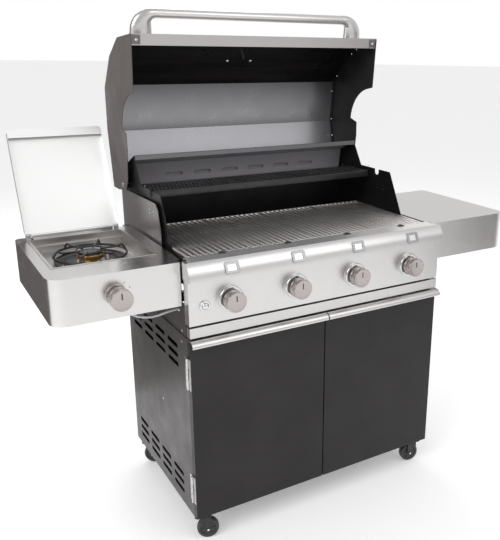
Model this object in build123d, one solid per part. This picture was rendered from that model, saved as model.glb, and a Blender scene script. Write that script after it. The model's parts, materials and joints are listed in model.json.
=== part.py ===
"""Gas barbecue grill on a cabinet cart: four burners, side burner, lift-up hood, two doors, four casters.

Built as separate sheet-metal, tube and cast pieces. Drawn with +X to the right, +Y to the back, +Z up,
y = 0 on the front face of the doors and z = 0 on the floor, then moved so that the origin is under the
middle of the whole object. The hood and the side burner lid stand open.
"""

import os
from math import asin, cos, degrees, hypot, pi, radians, sin, tan

from build123d import *

# ---- driving dimensions, mm ----
HALF_WIDTH = 460.0  # cart, centre to the outside of a side panel
CART_DEPTH = 576.0  # door face to the cabinet's back
CART_BOTTOM = 91.0  # floor to the cabinet's underside
SHEET = 1.5
DOOR_TOP = 697.0
DOOR_DEPTH = 19.0
CABINET_TOP = 695.0
SIDE_TOP = 800.0
FASCIA_Z = (704.0, 735.0)
PANEL_Z = (741.0, 877.0)
PANEL_FACE = -2.0
BULLNOSE_FRONT = -22.0
BULLNOSE_TOP = 930.0
BULLNOSE_EDGE = 2.0
BULLNOSE_HALF = 462.0
BURNER_PITCH = 220.0
BURNER_Z = 860.0
EMITTER_Z = 892.0
KNOB_Z = 806.0
KNOB_FACE = -47.0
KNOB_RADIUS = 31.0
STEM_RADIUS = 4.0
BEZEL_RADIUS = 39.0
BEZEL_BORE = 33.0
WINDOW_Z = 904.0
IGNITER = (-411.0, 797.0)
SHELF_OUTER = 820.0
SHELF_INNER = 465.0
SHELF_Y = (38.0, 512.0)
SHELF_Z = (794.0, 925.0)
ARM_YS = (130.0, 495.0)
ARM_DEPTH = 12.0
BOWL_X = (-784.0, -500.0)
BOWL_Y = (152.0, 470.0)
BOWL_FLOOR = 884.0
SIDE_BURNER = (-642.0, 311.0)
TRIVET_RADIUS = 106.0
TRIVET_WIRE = 3.6
TRIVET_TOP = 922.0
SEAT_HEIGHT = 16.9
SIDE_KNOB = (-645.0, 857.0)
GRATE_TOP = 930.0
GRATE_Y = (57.0, 461.0)
GRATE_PITCH = 217.0
GRATE_HEIGHT = 11.0
RACK_Y = (378.0, 506.0)
RACK_Z = 1062.0
TRAY_Z = (786.0, 818.0)
LINER_HALF = 436.0  # outside of the firebox's inner side walls
OUTER_HALF = 447.0  # outside of the firebox's outer side panels
HOOD_HALF = 451.0  # hood skin; the cheeks are outside it
PIVOT = (564.0, 1056.0)  # hood pivot, (y, z)
HOOD_OPEN = 84.0  # degrees from closed
HANDLE_AXIS = (12.0, 1014.0)  # (y, z) of the tube with the hood shut
HANDLE_RADIUS = 15.5
GAUGE_STEM = 3.0
LID_PIVOT = (492.0, 936.0)  # side burner lid hinge, (y, z)
LID_TOP = 943.0
LID_OPEN = 115.0
LID_X = (BOWL_X[0] - 7, BOWL_X[1])
LID_PIN = 2.5
HINGE_SPANS = [(147.0, 240.0), (536.0, 636.0)]
HINGE_AXIS = (-HALF_WIDTH - 4.0, 20.0)
HINGE_PIN = 1.6
KNUCKLE = 3.5
CASTER_X = 437.0
CASTER_Y = (36.0, 540.0)
WHEEL_RADIUS = 35.0
CASTER_TRAIL = 24.0
CASTER_ANGLES = (-20.0, 168.0, -40.0, 160.0)  # which way each fork trails, from +X
SHAFT_CLEARANCE = 0.05
HOSE_DIAMETER = 7.0

# corners of the gas hose's route, from the side burner's valve to the hole in the cabinet's side
HOSE_ROUTE = [
    (-626.0, 89.0, 835.0),
    (-624.0, 90.0, 815.0),
    (-611.0, 91.0, 790.0),
    (-585.0, 92.0, 768.0),
    (-552.0, 91.0, 757.0),
    (-519.0, 89.0, 758.0),
    (-487.0, 87.0, 766.0),
    (-462.0, 86.0, 768.0),
    (-440.0, 86.0, 768.0),
]

BURNER_XS = [BURNER_PITCH * step for step in (-1.5, -0.5, 0.5, 1.5)]
SIDE_KNOB_FACE = SHELF_Y[0] + KNOB_FACE - PANEL_FACE
CORNERS = [(-1, 0), (1, 0), (-1, 1), (1, 1)]  # (side, front or back) of each caster

# hood outline when shut, (y, z), from the bottom of the front lip over the top to the back edge
HOOD_SKIN = [(66, 936), (92, 1074), (160, 1164), (273, 1233), (418, 1221), (604, 1168), (598, 1114)]
HOOD_LINER = [(88, 962), (113, 1068), (176, 1146), (259, 1197), (416, 1198), (582, 1151)]

# outlines of the firebox's outer panels, inner side walls and back wall, (y, z)
OUTER_OUTLINE = [(235, 905), (235, 960), (255, 1029), (274, 1045), (610, 1036), (610, 905)]
FLANGE_OUTLINE = [
    (62, 905),
    (166, 918),
    (178, 925),
    (256, 1073),
    (437, 1074),
    (492, 1159),
    (575, 1121),
    (597, 1010),
    (597, 905),
]
BACK_WALL = [(597, 838), (597, 1010), (575, 1120), (489, 1160), (485, 1160), (485, 1147)]
GRATE_SEAT = GRATE_TOP - GRATE_HEIGHT


# ---- helpers ----
def block(x, y, z):
    """A box from its (low, high) spans."""
    spans = (x, y, z)
    middle = [(low + high) / 2 for low, high in spans]
    size = [abs(high - low) for low, high in spans]
    return Pos(*middle) * Box(*size)


def rod(direction, centre, radius, length):
    """A round bar along X, Y or Z about its middle point."""
    turn = {"x": Rot(0, 90, 0), "y": Rot(90, 0, 0), "z": Rot(0, 0, 0)}[direction]
    return Pos(*centre) * turn * Cylinder(radius, length)


def both_sides(shape):
    """The shape and its mirror image across the middle plane."""
    return [shape, mirror(shape, about=Plane.YZ)]


def group(*pieces):
    """Separate solids that share one node."""
    solids = []
    for piece in pieces:
        members = piece if isinstance(piece, (list, tuple)) else [piece]
        for member in members:
            solids.extend(member.solids())
    return Compound(solids)


def across(face_or_points, x_low, x_high):
    """A prism along X from an outline drawn as (y, z)."""
    face = face_or_points
    if isinstance(face_or_points, list):
        face = make_face(Polyline(*face_or_points, close=True))
    plane = Plane(origin=(x_low, 0, 0), x_dir=(0, 1, 0), z_dir=(1, 0, 0))
    return extrude(plane * face, amount=x_high - x_low, dir=(1, 0, 0))


def beside(points, distance):
    """A path moved sideways by distance, with mitred corners."""
    normals = []
    for start, end in zip(points, points[1:]):
        run = (end[0] - start[0], end[1] - start[1])
        size = hypot(*run)
        normals.append((run[1] / size, -run[0] / size))
    first = [normals[0]] + normals
    second = normals + [normals[-1]]
    moved = []
    for point, one, two in zip(points, first, second):
        share = distance / (1 + one[0] * two[0] + one[1] * two[1])
        moved.append((point[0] + share * (one[0] + two[0]), point[1] + share * (one[1] + two[1])))
    return moved


def bent_sheet(points, thickness, x_low, x_high):
    """Sheet folded along a (y, z) path; positive thickness lies to the right of the path."""
    return across(points + beside(points, thickness)[::-1], x_low, x_high)


def rounded_block(x, y, z, radius, edge_axis):
    """A box with the four edges along one axis rounded."""
    shape = block(x, y, z)
    return fillet(shape.edges().filter_by(edge_axis), radius)


def opened(shape):
    """A piece of the shut hood, turned back about the hood pivot."""
    return Pos(0, *PIVOT) * Rot(-HOOD_OPEN, 0, 0) * Pos(0, -PIVOT[0], -PIVOT[1]) * shape


def opened_point(y, z):
    """A point of the shut hood, (y, z), where it is with the hood open."""
    turn = radians(-HOOD_OPEN)
    away = (y - PIVOT[0], z - PIVOT[1])
    return (
        PIVOT[0] + away[0] * cos(turn) - away[1] * sin(turn),
        PIVOT[1] + away[0] * sin(turn) + away[1] * cos(turn),
    )


Y_MIDDLE = (KNOB_FACE + max(opened_point(*point)[0] for point in HOOD_SKIN)) / 2


# ---- cabinet ----
def base_pan():
    """Cabinet floor with a turned-up edge, and a socket over each caster stem."""
    half = HALF_WIDTH - 3
    span_y = (22.0, CART_DEPTH - 3)
    bottom = CART_BOTTOM
    pan = block((-half, half), span_y, (bottom, bottom + 25))
    inside = (span_y[0] + SHEET, span_y[1] - SHEET)
    pan -= block((SHEET - half, half - SHEET), inside, (bottom + SHEET, bottom + 30))
    for side, back in CORNERS:
        centre = (side * CASTER_X, CASTER_Y[back], bottom + 12)
        pan += rod("z", centre, 10, 24)
        pan -= rod("z", centre, 6 + SHAFT_CLEARANCE, 40)
    return pan


def side_panel():
    """Left side: a louvred lower sheet with folded edges and a joggled top."""
    outside = -HALF_WIDTH
    front = 20.5
    panel = block((outside, outside + SHEET), (front, CART_DEPTH), (CART_BOTTOM, CABINET_TOP))
    panel += block((outside, outside + 28), (front, front + 1), (CART_BOTTOM, CABINET_TOP))
    panel += block((outside, outside + 22), (CART_DEPTH - 1, CART_DEPTH), (CART_BOTTOM, CABINET_TOP))
    joggle = outside + 4
    upper = (31.0, CART_DEPTH)
    panel += block((outside, joggle), (front, CART_DEPTH), (CABINET_TOP - SHEET, CABINET_TOP))
    panel += block((joggle - SHEET, joggle), upper, (CABINET_TOP - SHEET, SIDE_TOP))
    slot_length = 84.0
    slot_height = 15.0
    for column in range(4):
        for row_z in (642, 611, 580, 197, 166, 135):
            slot = Plane.YZ * Pos(144 + 112 * column, row_z) * SlotOverall(slot_length, slot_height)
            panel -= Pos(outside - 5, 0, 0) * extrude(slot, amount=10, dir=(1, 0, 0))
    panel -= rod("x", (joggle, 86, 768), 8, 20)
    return panel


def back_panel():
    """Rear sheet of the cabinet, open above for the grease tray."""
    half = HALF_WIDTH - SHEET - 0.5
    sheet = block((-half, half), (CART_DEPTH - 2.6, CART_DEPTH - 1.2), (CART_BOTTOM + 26, 640))
    sheet += block((-430, 430), (CART_DEPTH - 20, CART_DEPTH - 1.2), (638.6, 640))
    for column in range(5):
        for row_z in (560, 590):
            slot = Plane.XZ * Pos(-240 + 120 * column, row_z) * SlotOverall(90, 12)
            sheet -= Pos(0, CART_DEPTH + 10, 0) * extrude(slot, amount=30, dir=(0, -1, 0))
    return sheet


def square_tube(x, y, z, axis):
    """A hollow square bar; axis names its open ends."""
    wall = 1.6
    inner = []
    for name, (low, high) in zip("xyz", (x, y, z)):
        reach = 1 if name == axis else -wall
        inner.append((low - reach, high + reach))
    return block(x, y, z) - block(*inner)


def cabinet_frame():
    """Four posts, the rails that join them, and the brackets that carry the side shelves."""
    post_x = (-HALF_WIDTH + 5, -HALF_WIDTH + 25)
    front_y = (23.0, 43.0)
    back_y = (552.0, 572.0)
    post_z = (CART_BOTTOM + 26, 699)
    rail_z = (700.0, 738.0)
    posts = both_sides(square_tube(post_x, front_y, post_z, "z"))
    posts += both_sides(square_tube(post_x, back_y, post_z, "z"))
    inner = HALF_WIDTH - 26
    front_rail = square_tube((-inner, inner), front_y, rail_z, "x")
    back_rail = square_tube((-inner, inner), back_y, rail_z, "x")
    side_rails = both_sides(square_tube(post_x, (front_y[0], back_y[1]), rail_z, "y"))
    arms = []
    for y in ARM_YS:
        arm_x = (-SHELF_INNER - 210, -SHELF_INNER + 9)
        arms += both_sides(block(arm_x, (y, y + ARM_DEPTH), (SHELF_Z[0] + 8, SHELF_Z[0] + 34)))
    return group(posts, front_rail, back_rail, side_rails, arms)


def lower_fascia():
    """Plain stainless strip between the control panel and the doors."""
    half = HALF_WIDTH
    low, high = FASCIA_Z
    strip = block((-half, half), (-3, 20), (low, high))
    strip -= block((SHEET - half, half - SHEET), (SHEET - 3, 30), (low + SHEET, high - SHEET))
    return strip


# ---- doors ----
def left_door():
    """Folded door pan with an open back."""
    x = (-HALF_WIDTH, -2.0)
    z = (CART_BOTTOM + 3, DOOR_TOP)
    pan = block(x, (0, DOOR_DEPTH), z)
    inside_x = (x[0] + SHEET, x[1] - SHEET)
    inside_z = (z[0] + SHEET, z[1] - SHEET)
    pan -= block(inside_x, (SHEET, DOOR_DEPTH + 5), inside_z)
    lip = block(x, (DOOR_DEPTH - SHEET, DOOR_DEPTH), z)
    lip -= block((x[0] + 16, x[1] - 16), (0, DOOR_DEPTH + 5), (z[0] + 16, z[1] - 16))
    return pan + lip


def hinge_leaf(span, leaf_y, knuckles):
    """One leaf of a butt hinge on the cabinet's left edge, with its share of the knuckles."""
    x, y = HINGE_AXIS
    third = (span[1] - span[0]) / 3
    leaf = block((-HALF_WIDTH - 1.5, -HALF_WIDTH), leaf_y, span)
    for index in knuckles:
        low = span[0] + index * third + 0.3
        high = low + third - 0.6
        barrel = rod("z", (x, y, (low + high) / 2), KNUCKLE, high - low)
        reach_y = (min(leaf_y[0], y), max(leaf_y[1], y))
        web = block((-HALF_WIDTH - 1.5, -HALF_WIDTH - 0.5), reach_y, (low, high))
        leaf += barrel + web
    for index in range(3):
        if index not in knuckles:
            low = span[0] + index * third
            middle = (x, y, low + third / 2)
            leaf -= rod("z", middle, KNUCKLE + 0.5, third)
    bore = rod("z", (x, y, sum(span) / 2), HINGE_PIN + SHAFT_CLEARANCE, 200)
    return leaf - bore


def left_hinges_fixed():
    """Leaves on the cabinet with the middle knuckle, and the pins."""
    pieces = []
    for span in HINGE_SPANS:
        pieces.append(hinge_leaf(span, (23.9, 42.0), [1]))
        pieces.append(rod("z", (*HINGE_AXIS, sum(span) / 2), HINGE_PIN, span[1] - span[0] - 1))
    return pieces


def left_door_trim():
    """Full-width grip strip along the top of the door, and the moving hinge leaves."""
    face = make_face(
        Polyline((19, 699), (-6, 699))
        + ThreePointArc((-6, 699), (-20.5, 694), (-26, 684))
        + Polyline((-26, 684), (-26, 680), (-24, 680), (-24, 684))
        + ThreePointArc((-24, 684), (-19, 692.5), (-6, 697))
        + Polyline((-6, 697), (19, 697), (19, 699))
    )
    strip = across(face, -HALF_WIDTH - 2, -2.0)
    leaves = [hinge_leaf(span, (2.5, 16.1), [0, 2]) for span in HINGE_SPANS]
    return [strip] + leaves


# ---- control panel ----
def panel_outline():
    """(y, z) outline of the control panel with the rounded nose along its top."""
    nose_rise = BULLNOSE_TOP - PANEL_Z[1]
    nose_back = BULLNOSE_EDGE - BULLNOSE_FRONT
    radius = (nose_rise**2 + nose_back**2) / (2 * nose_back)
    half_turn = asin(nose_rise / radius) / 2
    middle = (
        BULLNOSE_FRONT + radius * (1 - cos(half_turn)),
        PANEL_Z[1] + radius * sin(half_turn),
    )
    lower = Polyline(
        (BULLNOSE_EDGE, BULLNOSE_TOP - SHEET),
        (30, BULLNOSE_TOP - SHEET),
        (30, PANEL_Z[0]),
        (PANEL_FACE, PANEL_Z[0]),
        (PANEL_FACE, PANEL_Z[1]),
        (BULLNOSE_FRONT, PANEL_Z[1]),
    )
    nose = ThreePointArc((BULLNOSE_FRONT, PANEL_Z[1]), middle, (BULLNOSE_EDGE, BULLNOSE_TOP))
    edge = Line((BULLNOSE_EDGE, BULLNOSE_TOP), (BULLNOSE_EDGE, BULLNOSE_TOP - SHEET))
    return make_face(lower + nose + edge), radius


PANEL_FACE_SHAPE, NOSE_RADIUS = panel_outline()
WINDOW_TILT = degrees(asin((WINDOW_Z - PANEL_Z[1]) / NOSE_RADIUS))
WINDOW_Y = BULLNOSE_FRONT + NOSE_RADIUS * (1 - cos(radians(WINDOW_TILT)))


def at_window(x, shape):
    """Puts a shape drawn about the origin, facing -Y, on the nose at one burner."""
    return Pos(x, WINDOW_Y, WINDOW_Z) * Rot(-WINDOW_TILT, 0, 0) * shape


def control_panel():
    """Folded panel: flat face, rounded nose, closed ends, open back."""
    panel = across(PANEL_FACE_SHAPE, -HALF_WIDTH, HALF_WIDTH)
    hollow = offset(PANEL_FACE_SHAPE, amount=-SHEET, kind=Kind.INTERSECTION)
    inside = HALF_WIDTH - SHEET
    panel -= across(hollow, -inside, inside)
    panel -= block((-inside, inside), (25, 40), (PANEL_Z[0] + SHEET, BULLNOSE_TOP - 2 * SHEET))
    end = across(PANEL_FACE_SHAPE, HALF_WIDTH, BULLNOSE_HALF)
    end &= block((0, 500), (-30, 30), (PANEL_Z[1], BULLNOSE_TOP))
    for cap in both_sides(end):
        panel += cap
    for x in BURNER_XS:
        panel -= rod("y", (x, PANEL_FACE, KNOB_Z), 6, 10)
        panel -= at_window(x, Box(28, 12, 18))
    panel -= rod("y", (IGNITER[0], PANEL_FACE, IGNITER[1]), 9, 10)
    return panel


def burner_window_frames():
    """Raised rounded frame round each burner's window."""
    solid_nose = across(PANEL_FACE_SHAPE, -HALF_WIDTH, HALF_WIDTH)
    frames = []
    for x in BURNER_XS:
        frame = rounded_block((-23, 23), (-3.0, 3.0), (-18, 18), 7, Axis.Y)
        front = frame.faces().sort_by(Axis.Y)[0]
        frame = fillet(front.outer_wire().edges(), 1.6)
        frame -= Box(28, 20, 18)
        frames.append(at_window(x, frame) - solid_nose)
    return frames


def burner_windows():
    """Heat-proof glass pane in each frame."""
    return [at_window(x, Box(28, 2.0, 18)) for x in BURNER_XS]


def knob_bezels():
    """Chrome ring behind each main knob, and the collar round the igniter button."""
    rings = []
    for x in BURNER_XS:
        ring = rod("y", (x, PANEL_FACE - 4, KNOB_Z), BEZEL_RADIUS, 8)
        front = ring.edges().sort_by(Axis.Y)[0]
        ring = fillet(front, 3) - rod("y", (x, PANEL_FACE - 4, KNOB_Z), BEZEL_BORE, 20)
        rings.append(ring)
    collar = rod("y", (IGNITER[0], PANEL_FACE - 2.5, IGNITER[1]), 17, 5)
    collar = fillet(collar.edges().sort_by(Axis.Y)[0], 2)
    collar -= rod("y", (IGNITER[0], PANEL_FACE - 2.5, IGNITER[1]), 11, 20)
    return rings + [collar]


def igniter_button():
    """Domed push button with a stem into the panel."""
    x, z = IGNITER
    cap = rod("y", (x, PANEL_FACE - 6.5, z), 10.5, 6)
    cap = fillet(cap.edges().sort_by(Axis.Y)[0], 2.5)
    return cap + rod("y", (x, PANEL_FACE + 4, z), 8.4, 18)


def knob(x, z, face_y):
    """Two-step turned metal knob, hollow behind, with an indicator slot at the top."""
    base = rod("y", (x, face_y + 31.5, z), 29.5, 19) - rod("y", (x, face_y + 34, z), 25, 16)
    base += rod("y", (x, face_y + 32, z), 8, 16)
    neck = rod("y", (x, face_y + 21, z), 26, 4)
    head = rod("y", (x, face_y + 10, z), KNOB_RADIUS, 20)
    ends = head.edges().sort_by(Axis.Y)
    head = fillet(ends[0], 1.5)
    body = base + neck + head
    body -= rounded_block((x - 1.8, x + 1.8), (face_y - 1, face_y + 1.2), (z + 7, z + 25), 1.7, Axis.Y)
    bore_length = 26.0
    bore = rod("y", (x, face_y + 41.5 - bore_length / 2, z), STEM_RADIUS + SHAFT_CLEARANCE, bore_length)
    return body - bore


def valve_stem(x, z, face_y):
    """Plain round stem from inside the valve to inside the knob."""
    start = face_y + 20
    return rod("y", (x, start + 26, z), STEM_RADIUS, 52)


def valve_body(x, z, face_y):
    """Gas valve behind one knob, bored for its stem."""
    front = face_y + 62
    body = rounded_block((x - 13, x + 13), (front, front + 26), (z - 15, z + 15), 4, Axis.Y)
    return body - rod("y", (x, front + 8, z), STEM_RADIUS + SHAFT_CLEARANCE, 24)


# ---- gas train ----
def gas_manifold():
    """Supply pipe, four main valves with their jets, side burner valve and the gas inlet."""
    pipe_y = 55.0
    pipe_z = 770.0
    train = rod("x", (0, pipe_y, pipe_z), 9, 800)
    for x in BURNER_XS:
        train += valve_body(x, KNOB_Z, KNOB_FACE)
        train += block((x - 5, x + 5), (26, 36), (765, 792))
        train += block((x - 5, x + 5), (30, 50), (765, 775))
        train += block((x - 4, x + 4), (30, 38), (818, BURNER_Z + 2))
        train += rod("y", (x, 42, BURNER_Z - 4), 4, 10)
    train -= rod("x", (0, pipe_y, pipe_z), 7, 790)
    inlet = rod("z", (380, pipe_y, 748), 6, 40) + rod("z", (380, pipe_y, 722), 8, 14)
    inlet -= rod("z", (380, pipe_y, 722), 4, 16)
    train += inlet
    train += rod("x", (-415, 86, 768), 3.5, 50) + block((-396, -390), (55, 86), (765, 771))
    side = valve_body(SIDE_KNOB[0], SIDE_KNOB[1], SIDE_KNOB_FACE)
    outlet_x, outlet_y, outlet_z = HOSE_ROUTE[0]
    side += block((outlet_x - 8, outlet_x + 5), (65, outlet_y + 5), (outlet_z + 9, outlet_z + 19))
    side += rod("z", (outlet_x, outlet_y, outlet_z + 5.4), 4, 9.8)
    jet = rod("y", (SIDE_KNOB[0], 105, SIDE_KNOB[1] + 5), 4, 60)
    return group(train, side + jet)


def side_burner_hose():
    """Rubber gas hose that sags from the side valve to the hole in the cabinet's side."""
    points = [Vector(*point) for point in HOSE_ROUTE]
    radii = []
    for before, corner, after in zip(points, points[1:], points[2:]):
        turn = (corner - before).get_angle(after - corner)
        shorter = min((corner - before).length, (after - corner).length)
        radii.append(0.45 * shorter / tan(radians(turn / 2)))
    path = FilletPolyline(*HOSE_ROUTE, radius=radii)
    start = Plane(origin=points[0], z_dir=points[1] - points[0])
    tube = sweep(start * Circle(HOSE_DIAMETER / 2), path=path)
    expected = pi * (HOSE_DIAMETER / 2) ** 2 * path.length
    print("hose bend radii", [round(radius) for radius in radii])
    print("hose length", round(path.length), "volume over expected", round(tube.volume / expected, 4))
    return tube


def burners():
    """Four tube burners with closed back ends, open to the jets in front."""
    tubes = []
    for x in BURNER_XS:
        tube = rod("y", (x, 248, BURNER_Z), 19, 396)
        tube -= rod("y", (x, 240, BURNER_Z), 17.5, 396)
        electrode = rod("y", (x + 27, 84, BURNER_Z + 8), 3, 52)
        tubes += [tube, electrode]
    return tubes


def emitter_plates():
    """Radiant plate over each burner, folded like a shallow tray."""
    plates = []
    for x in BURNER_XS:
        tray = block((x - 103, x + 103), (66, 451), (EMITTER_Z, EMITTER_Z + 14))
        tray -= block((x - 101.8, x + 101.8), (67.2, 449.8), (EMITTER_Z + 1.2, EMITTER_Z + 20))
        plates.append(tray)
    return plates


# ---- firebox ----
def firebox_shell():
    """Outer side panels of the firebox, each with a ledge on the cabinet's side."""
    panel = across(OUTER_OUTLINE, -OUTER_HALF, SHEET - OUTER_HALF)
    ledge = block((-HALF_WIDTH + 4.5, SHEET - OUTER_HALF), (62, 610), (905 - SHEET, 905))
    side = block((-HALF_WIDTH + 4.5, -HALF_WIDTH + 6), (62, 572), (SIDE_TOP + 0.5, 905))
    return group(both_sides(panel + ledge + side))


def firebox_liner():
    """Black enamelled tub: inner side walls, floor with a drain, front wall, back wall and vents."""
    inside = LINER_HALF - SHEET
    side = across(FLANGE_OUTLINE, -LINER_HALF, -inside)
    notch = rod("x", (-LINER_HALF, 335, 1064), 12, 20)
    notch += block((-LINER_HALF - 10, -inside + 10), (323, 347), (1064, 1090))
    side -= notch
    side += block((-LINER_HALF, -inside), (62, 597), (838 - SHEET, 905))
    for y, z in ((292, 1016), (330, 1016), (292, 1004), (330, 1004)):
        side -= rod("x", (-LINER_HALF, y, z), 2.5, 20)
    side -= rod("x", (-LINER_HALF, *PIVOT), 4, 20)
    tub = Part() + both_sides(side)
    tub += bent_sheet(BACK_WALL, -SHEET, -inside, inside)
    for column in range(6):
        slot = Pos(107 * (column - 2.5), 1074) * SlotOverall(66, 13)
        tub -= Pos(0, 560, 0) * extrude(Plane.XZ * slot, amount=60, dir=(0, 1, 0))
    front = block((-inside, inside), (62, 62 + SHEET), (838, GRATE_SEAT))
    front += block((-inside, inside), (62, 72), (GRATE_SEAT - SHEET, GRATE_SEAT))
    front += block((-inside, inside), (62, 74), (EMITTER_Z - SHEET, EMITTER_Z))
    for x in BURNER_XS:
        front -= rod("y", (x, 62, BURNER_Z), 19, 10)
        front -= rod("y", (x + 27, 62, BURNER_Z + 8), 3, 10)
    rear = block((-inside, inside), (452, 452 + SHEET), (EMITTER_Z - SHEET, GRATE_SEAT))
    rear += block((-inside, inside), (452, 468), (GRATE_SEAT - SHEET, GRATE_SEAT))
    rear += block((-inside, inside), (440, 452), (EMITTER_Z - SHEET, EMITTER_Z))
    tub += front + rear
    tub += block((-inside, inside), (62, 597), (838 - SHEET, 838))
    tub -= block((-45, 45), (300, 390), (830, 845))
    runner = block((211, 212.5), (200, 590), (TRAY_Z[0] - SHEET, 836.5))
    runner += block((200, 212.5), (200, 590), (TRAY_Z[0] - SHEET, TRAY_Z[0]))
    return tub + both_sides(runner)


def front_rail():
    """Stainless ledge between the nose and the grates."""
    half = LINER_HALF + 12
    path = [(BULLNOSE_EDGE + 0.5, BULLNOSE_TOP), (55, BULLNOSE_TOP), (55, 914), (62, 914)]
    return bent_sheet(path, SHEET, -half, half)


def rail_clips():
    """Small dark spring clip on the rail in front of each grate."""
    clips = []
    for x in BURNER_XS:
        clip = block((x - 11, x + 11), (43, 54.5), (BULLNOSE_TOP, BULLNOSE_TOP + 2.5))
        clip += block((x - 3, x + 3), (43, 54.5), (BULLNOSE_TOP, BULLNOSE_TOP + 5))
        clips.append(clip)
    return clips


def cooking_grate(x):
    """Stainless grate: flat-topped bars from front to back between two end bars."""
    half = GRATE_PITCH / 2 - 0.5
    bars = 12
    pitch = (2 * half - 9) / (bars - 1)
    height = (GRATE_SEAT, GRATE_TOP)
    grate = block((x - half, x + half), (GRATE_Y[0], GRATE_Y[0] + 6), height)
    grate += block((x - half, x + half), (GRATE_Y[1] - 6, GRATE_Y[1]), height)
    for index in range(bars):
        low = x - half + index * pitch
        grate += block((low, low + 9), GRATE_Y, height)
    return grate


def warming_rack():
    """Perforated shelf with a folded front edge."""
    half = LINER_HALF - 8
    rack = block((-half, half), RACK_Y, (RACK_Z - 2, RACK_Z))
    rack += block((-half, half), (RACK_Y[0], RACK_Y[0] + 1.5), (RACK_Z - 22, RACK_Z))
    rack += block((-half, half), (RACK_Y[1] - 1.5, RACK_Y[1]), (RACK_Z - 8, RACK_Z))
    for column in range(26):
        x = (column - 12.5) * 32
        for y in (402, 428, 454, 480):
            rack -= Pos(x, y, RACK_Z) * extrude(SlotOverall(24, 10), amount=10, both=True)
    return rack


def grease_tray():
    """Shallow tray under the firebox drain that pulls out at the back."""
    x = (-210.0, 210.0)
    y = (220.0, 590.0)
    z = TRAY_Z
    tray = block(x, y, z)
    tray -= block((x[0] + SHEET, x[1] - SHEET), (y[0] + SHEET, y[1] - SHEET), (z[0] + SHEET, z[1] + 5))
    return tray + block((-60, 60), (590, 608), (z[1] - SHEET, z[1]))


# ---- hood ----
def gauge_plane():
    """Middle of the facet that carries the thermometer, facing outwards."""
    low, high = HOOD_SKIN[1], HOOD_SKIN[2]
    middle = ((low[0] + high[0]) / 2, (low[1] + high[1]) / 2)
    outwards = (0, low[1] - high[1], high[0] - low[0])
    return Plane(origin=(0, *middle), x_dir=(1, 0, 0), z_dir=outwards)


def hood_skin():
    """Outer hood sheet in flat facets, with the lip's edge folded inwards."""
    path = [(100, 948), (100, 936)] + HOOD_SKIN
    sheet = bent_sheet(path, SHEET, -HOOD_HALF, HOOD_HALF)
    return opened(sheet - gauge_plane() * Cylinder(GAUGE_STEM, 120))


def hood_liner():
    """Polished inner sheet a little way inside the skin."""
    half = HOOD_HALF - 2
    sheet = bent_sheet(HOOD_LINER, 1.2, -half, half)
    return opened(sheet - gauge_plane() * Cylinder(GAUGE_STEM, 120))


def hood_cheeks():
    """Two flat side plates with the rotisserie cut-out and the pivot hole."""
    lower = [(598, 1114), (578, 1030), (540, 1010), (432, 1006), (384, 1012), (376, 1054)]
    edge = (
        Polyline(*HOOD_SKIN, *lower[1:])
        + ThreePointArc((376, 1054), (296, 1027), (252, 968))
        + Polyline((252, 968), (240, 930), (70, 933), HOOD_SKIN[0])
    )
    plate = across(make_face(edge), -HOOD_HALF - 2, -HOOD_HALF)
    plate -= rod("x", (-HOOD_HALF, *PIVOT), 4 + SHAFT_CLEARANCE, 20)
    return group([opened(piece) for piece in both_sides(plate)])


def hood_handle():
    """Straight stainless tube whose ends turn into broad cast feet on the front lip."""
    tube_half = 345.0
    foot = (362.0, 430.0)
    slope = (HOOD_SKIN[1][0] - HOOD_SKIN[0][0]) / (HOOD_SKIN[1][1] - HOOD_SKIN[0][1])
    lip_y = HOOD_SKIN[0][0] + slope * (HANDLE_AXIS[1] - HOOD_SKIN[0][1])
    reach = lip_y - HANDLE_AXIS[0]
    tube = rod("x", (0, *HANDLE_AXIS), HANDLE_RADIUS, 2 * tube_half)
    profile = Polyline((tube_half, -15.5), (tube_half, 15.5), (foot[0], 26), (foot[0], reach + 6))
    profile += Polyline((foot[0], reach + 6), (foot[1], reach + 6), (foot[1], 40))
    profile += ThreePointArc((foot[1], 40), (407, 2), (tube_half, -15.5))
    flat = make_face(profile)
    end = Pos(0, HANDLE_AXIS[0], HANDLE_AXIS[1] - HANDLE_RADIUS) * extrude(
        flat, amount=2 * HANDLE_RADIUS, dir=(0, 0, 1)
    )
    lip_plane = [(lip_y - 200 * slope, HANDLE_AXIS[1] - 200), (lip_y + 200 * slope, HANDLE_AXIS[1] + 200)]
    behind = across(lip_plane + [(300, HANDLE_AXIS[1] + 200), (300, HANDLE_AXIS[1] - 200)], 300, 500)
    end -= behind
    return opened(tube + both_sides(end))


def thermometer():
    """Round dial gauge on the front facet, with its stem through the skin and the liner."""
    case = Pos(0, 0, 6) * Cylinder(37, 12)
    case = fillet(case.edges().sort_by(Axis.Z)[-1], 3)
    case -= Pos(0, 0, 11.5) * Cylinder(31, 4)
    stem = Pos(0, 0, -20) * Cylinder(GAUGE_STEM, 40)
    return opened(gauge_plane() * (case + stem))


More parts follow.
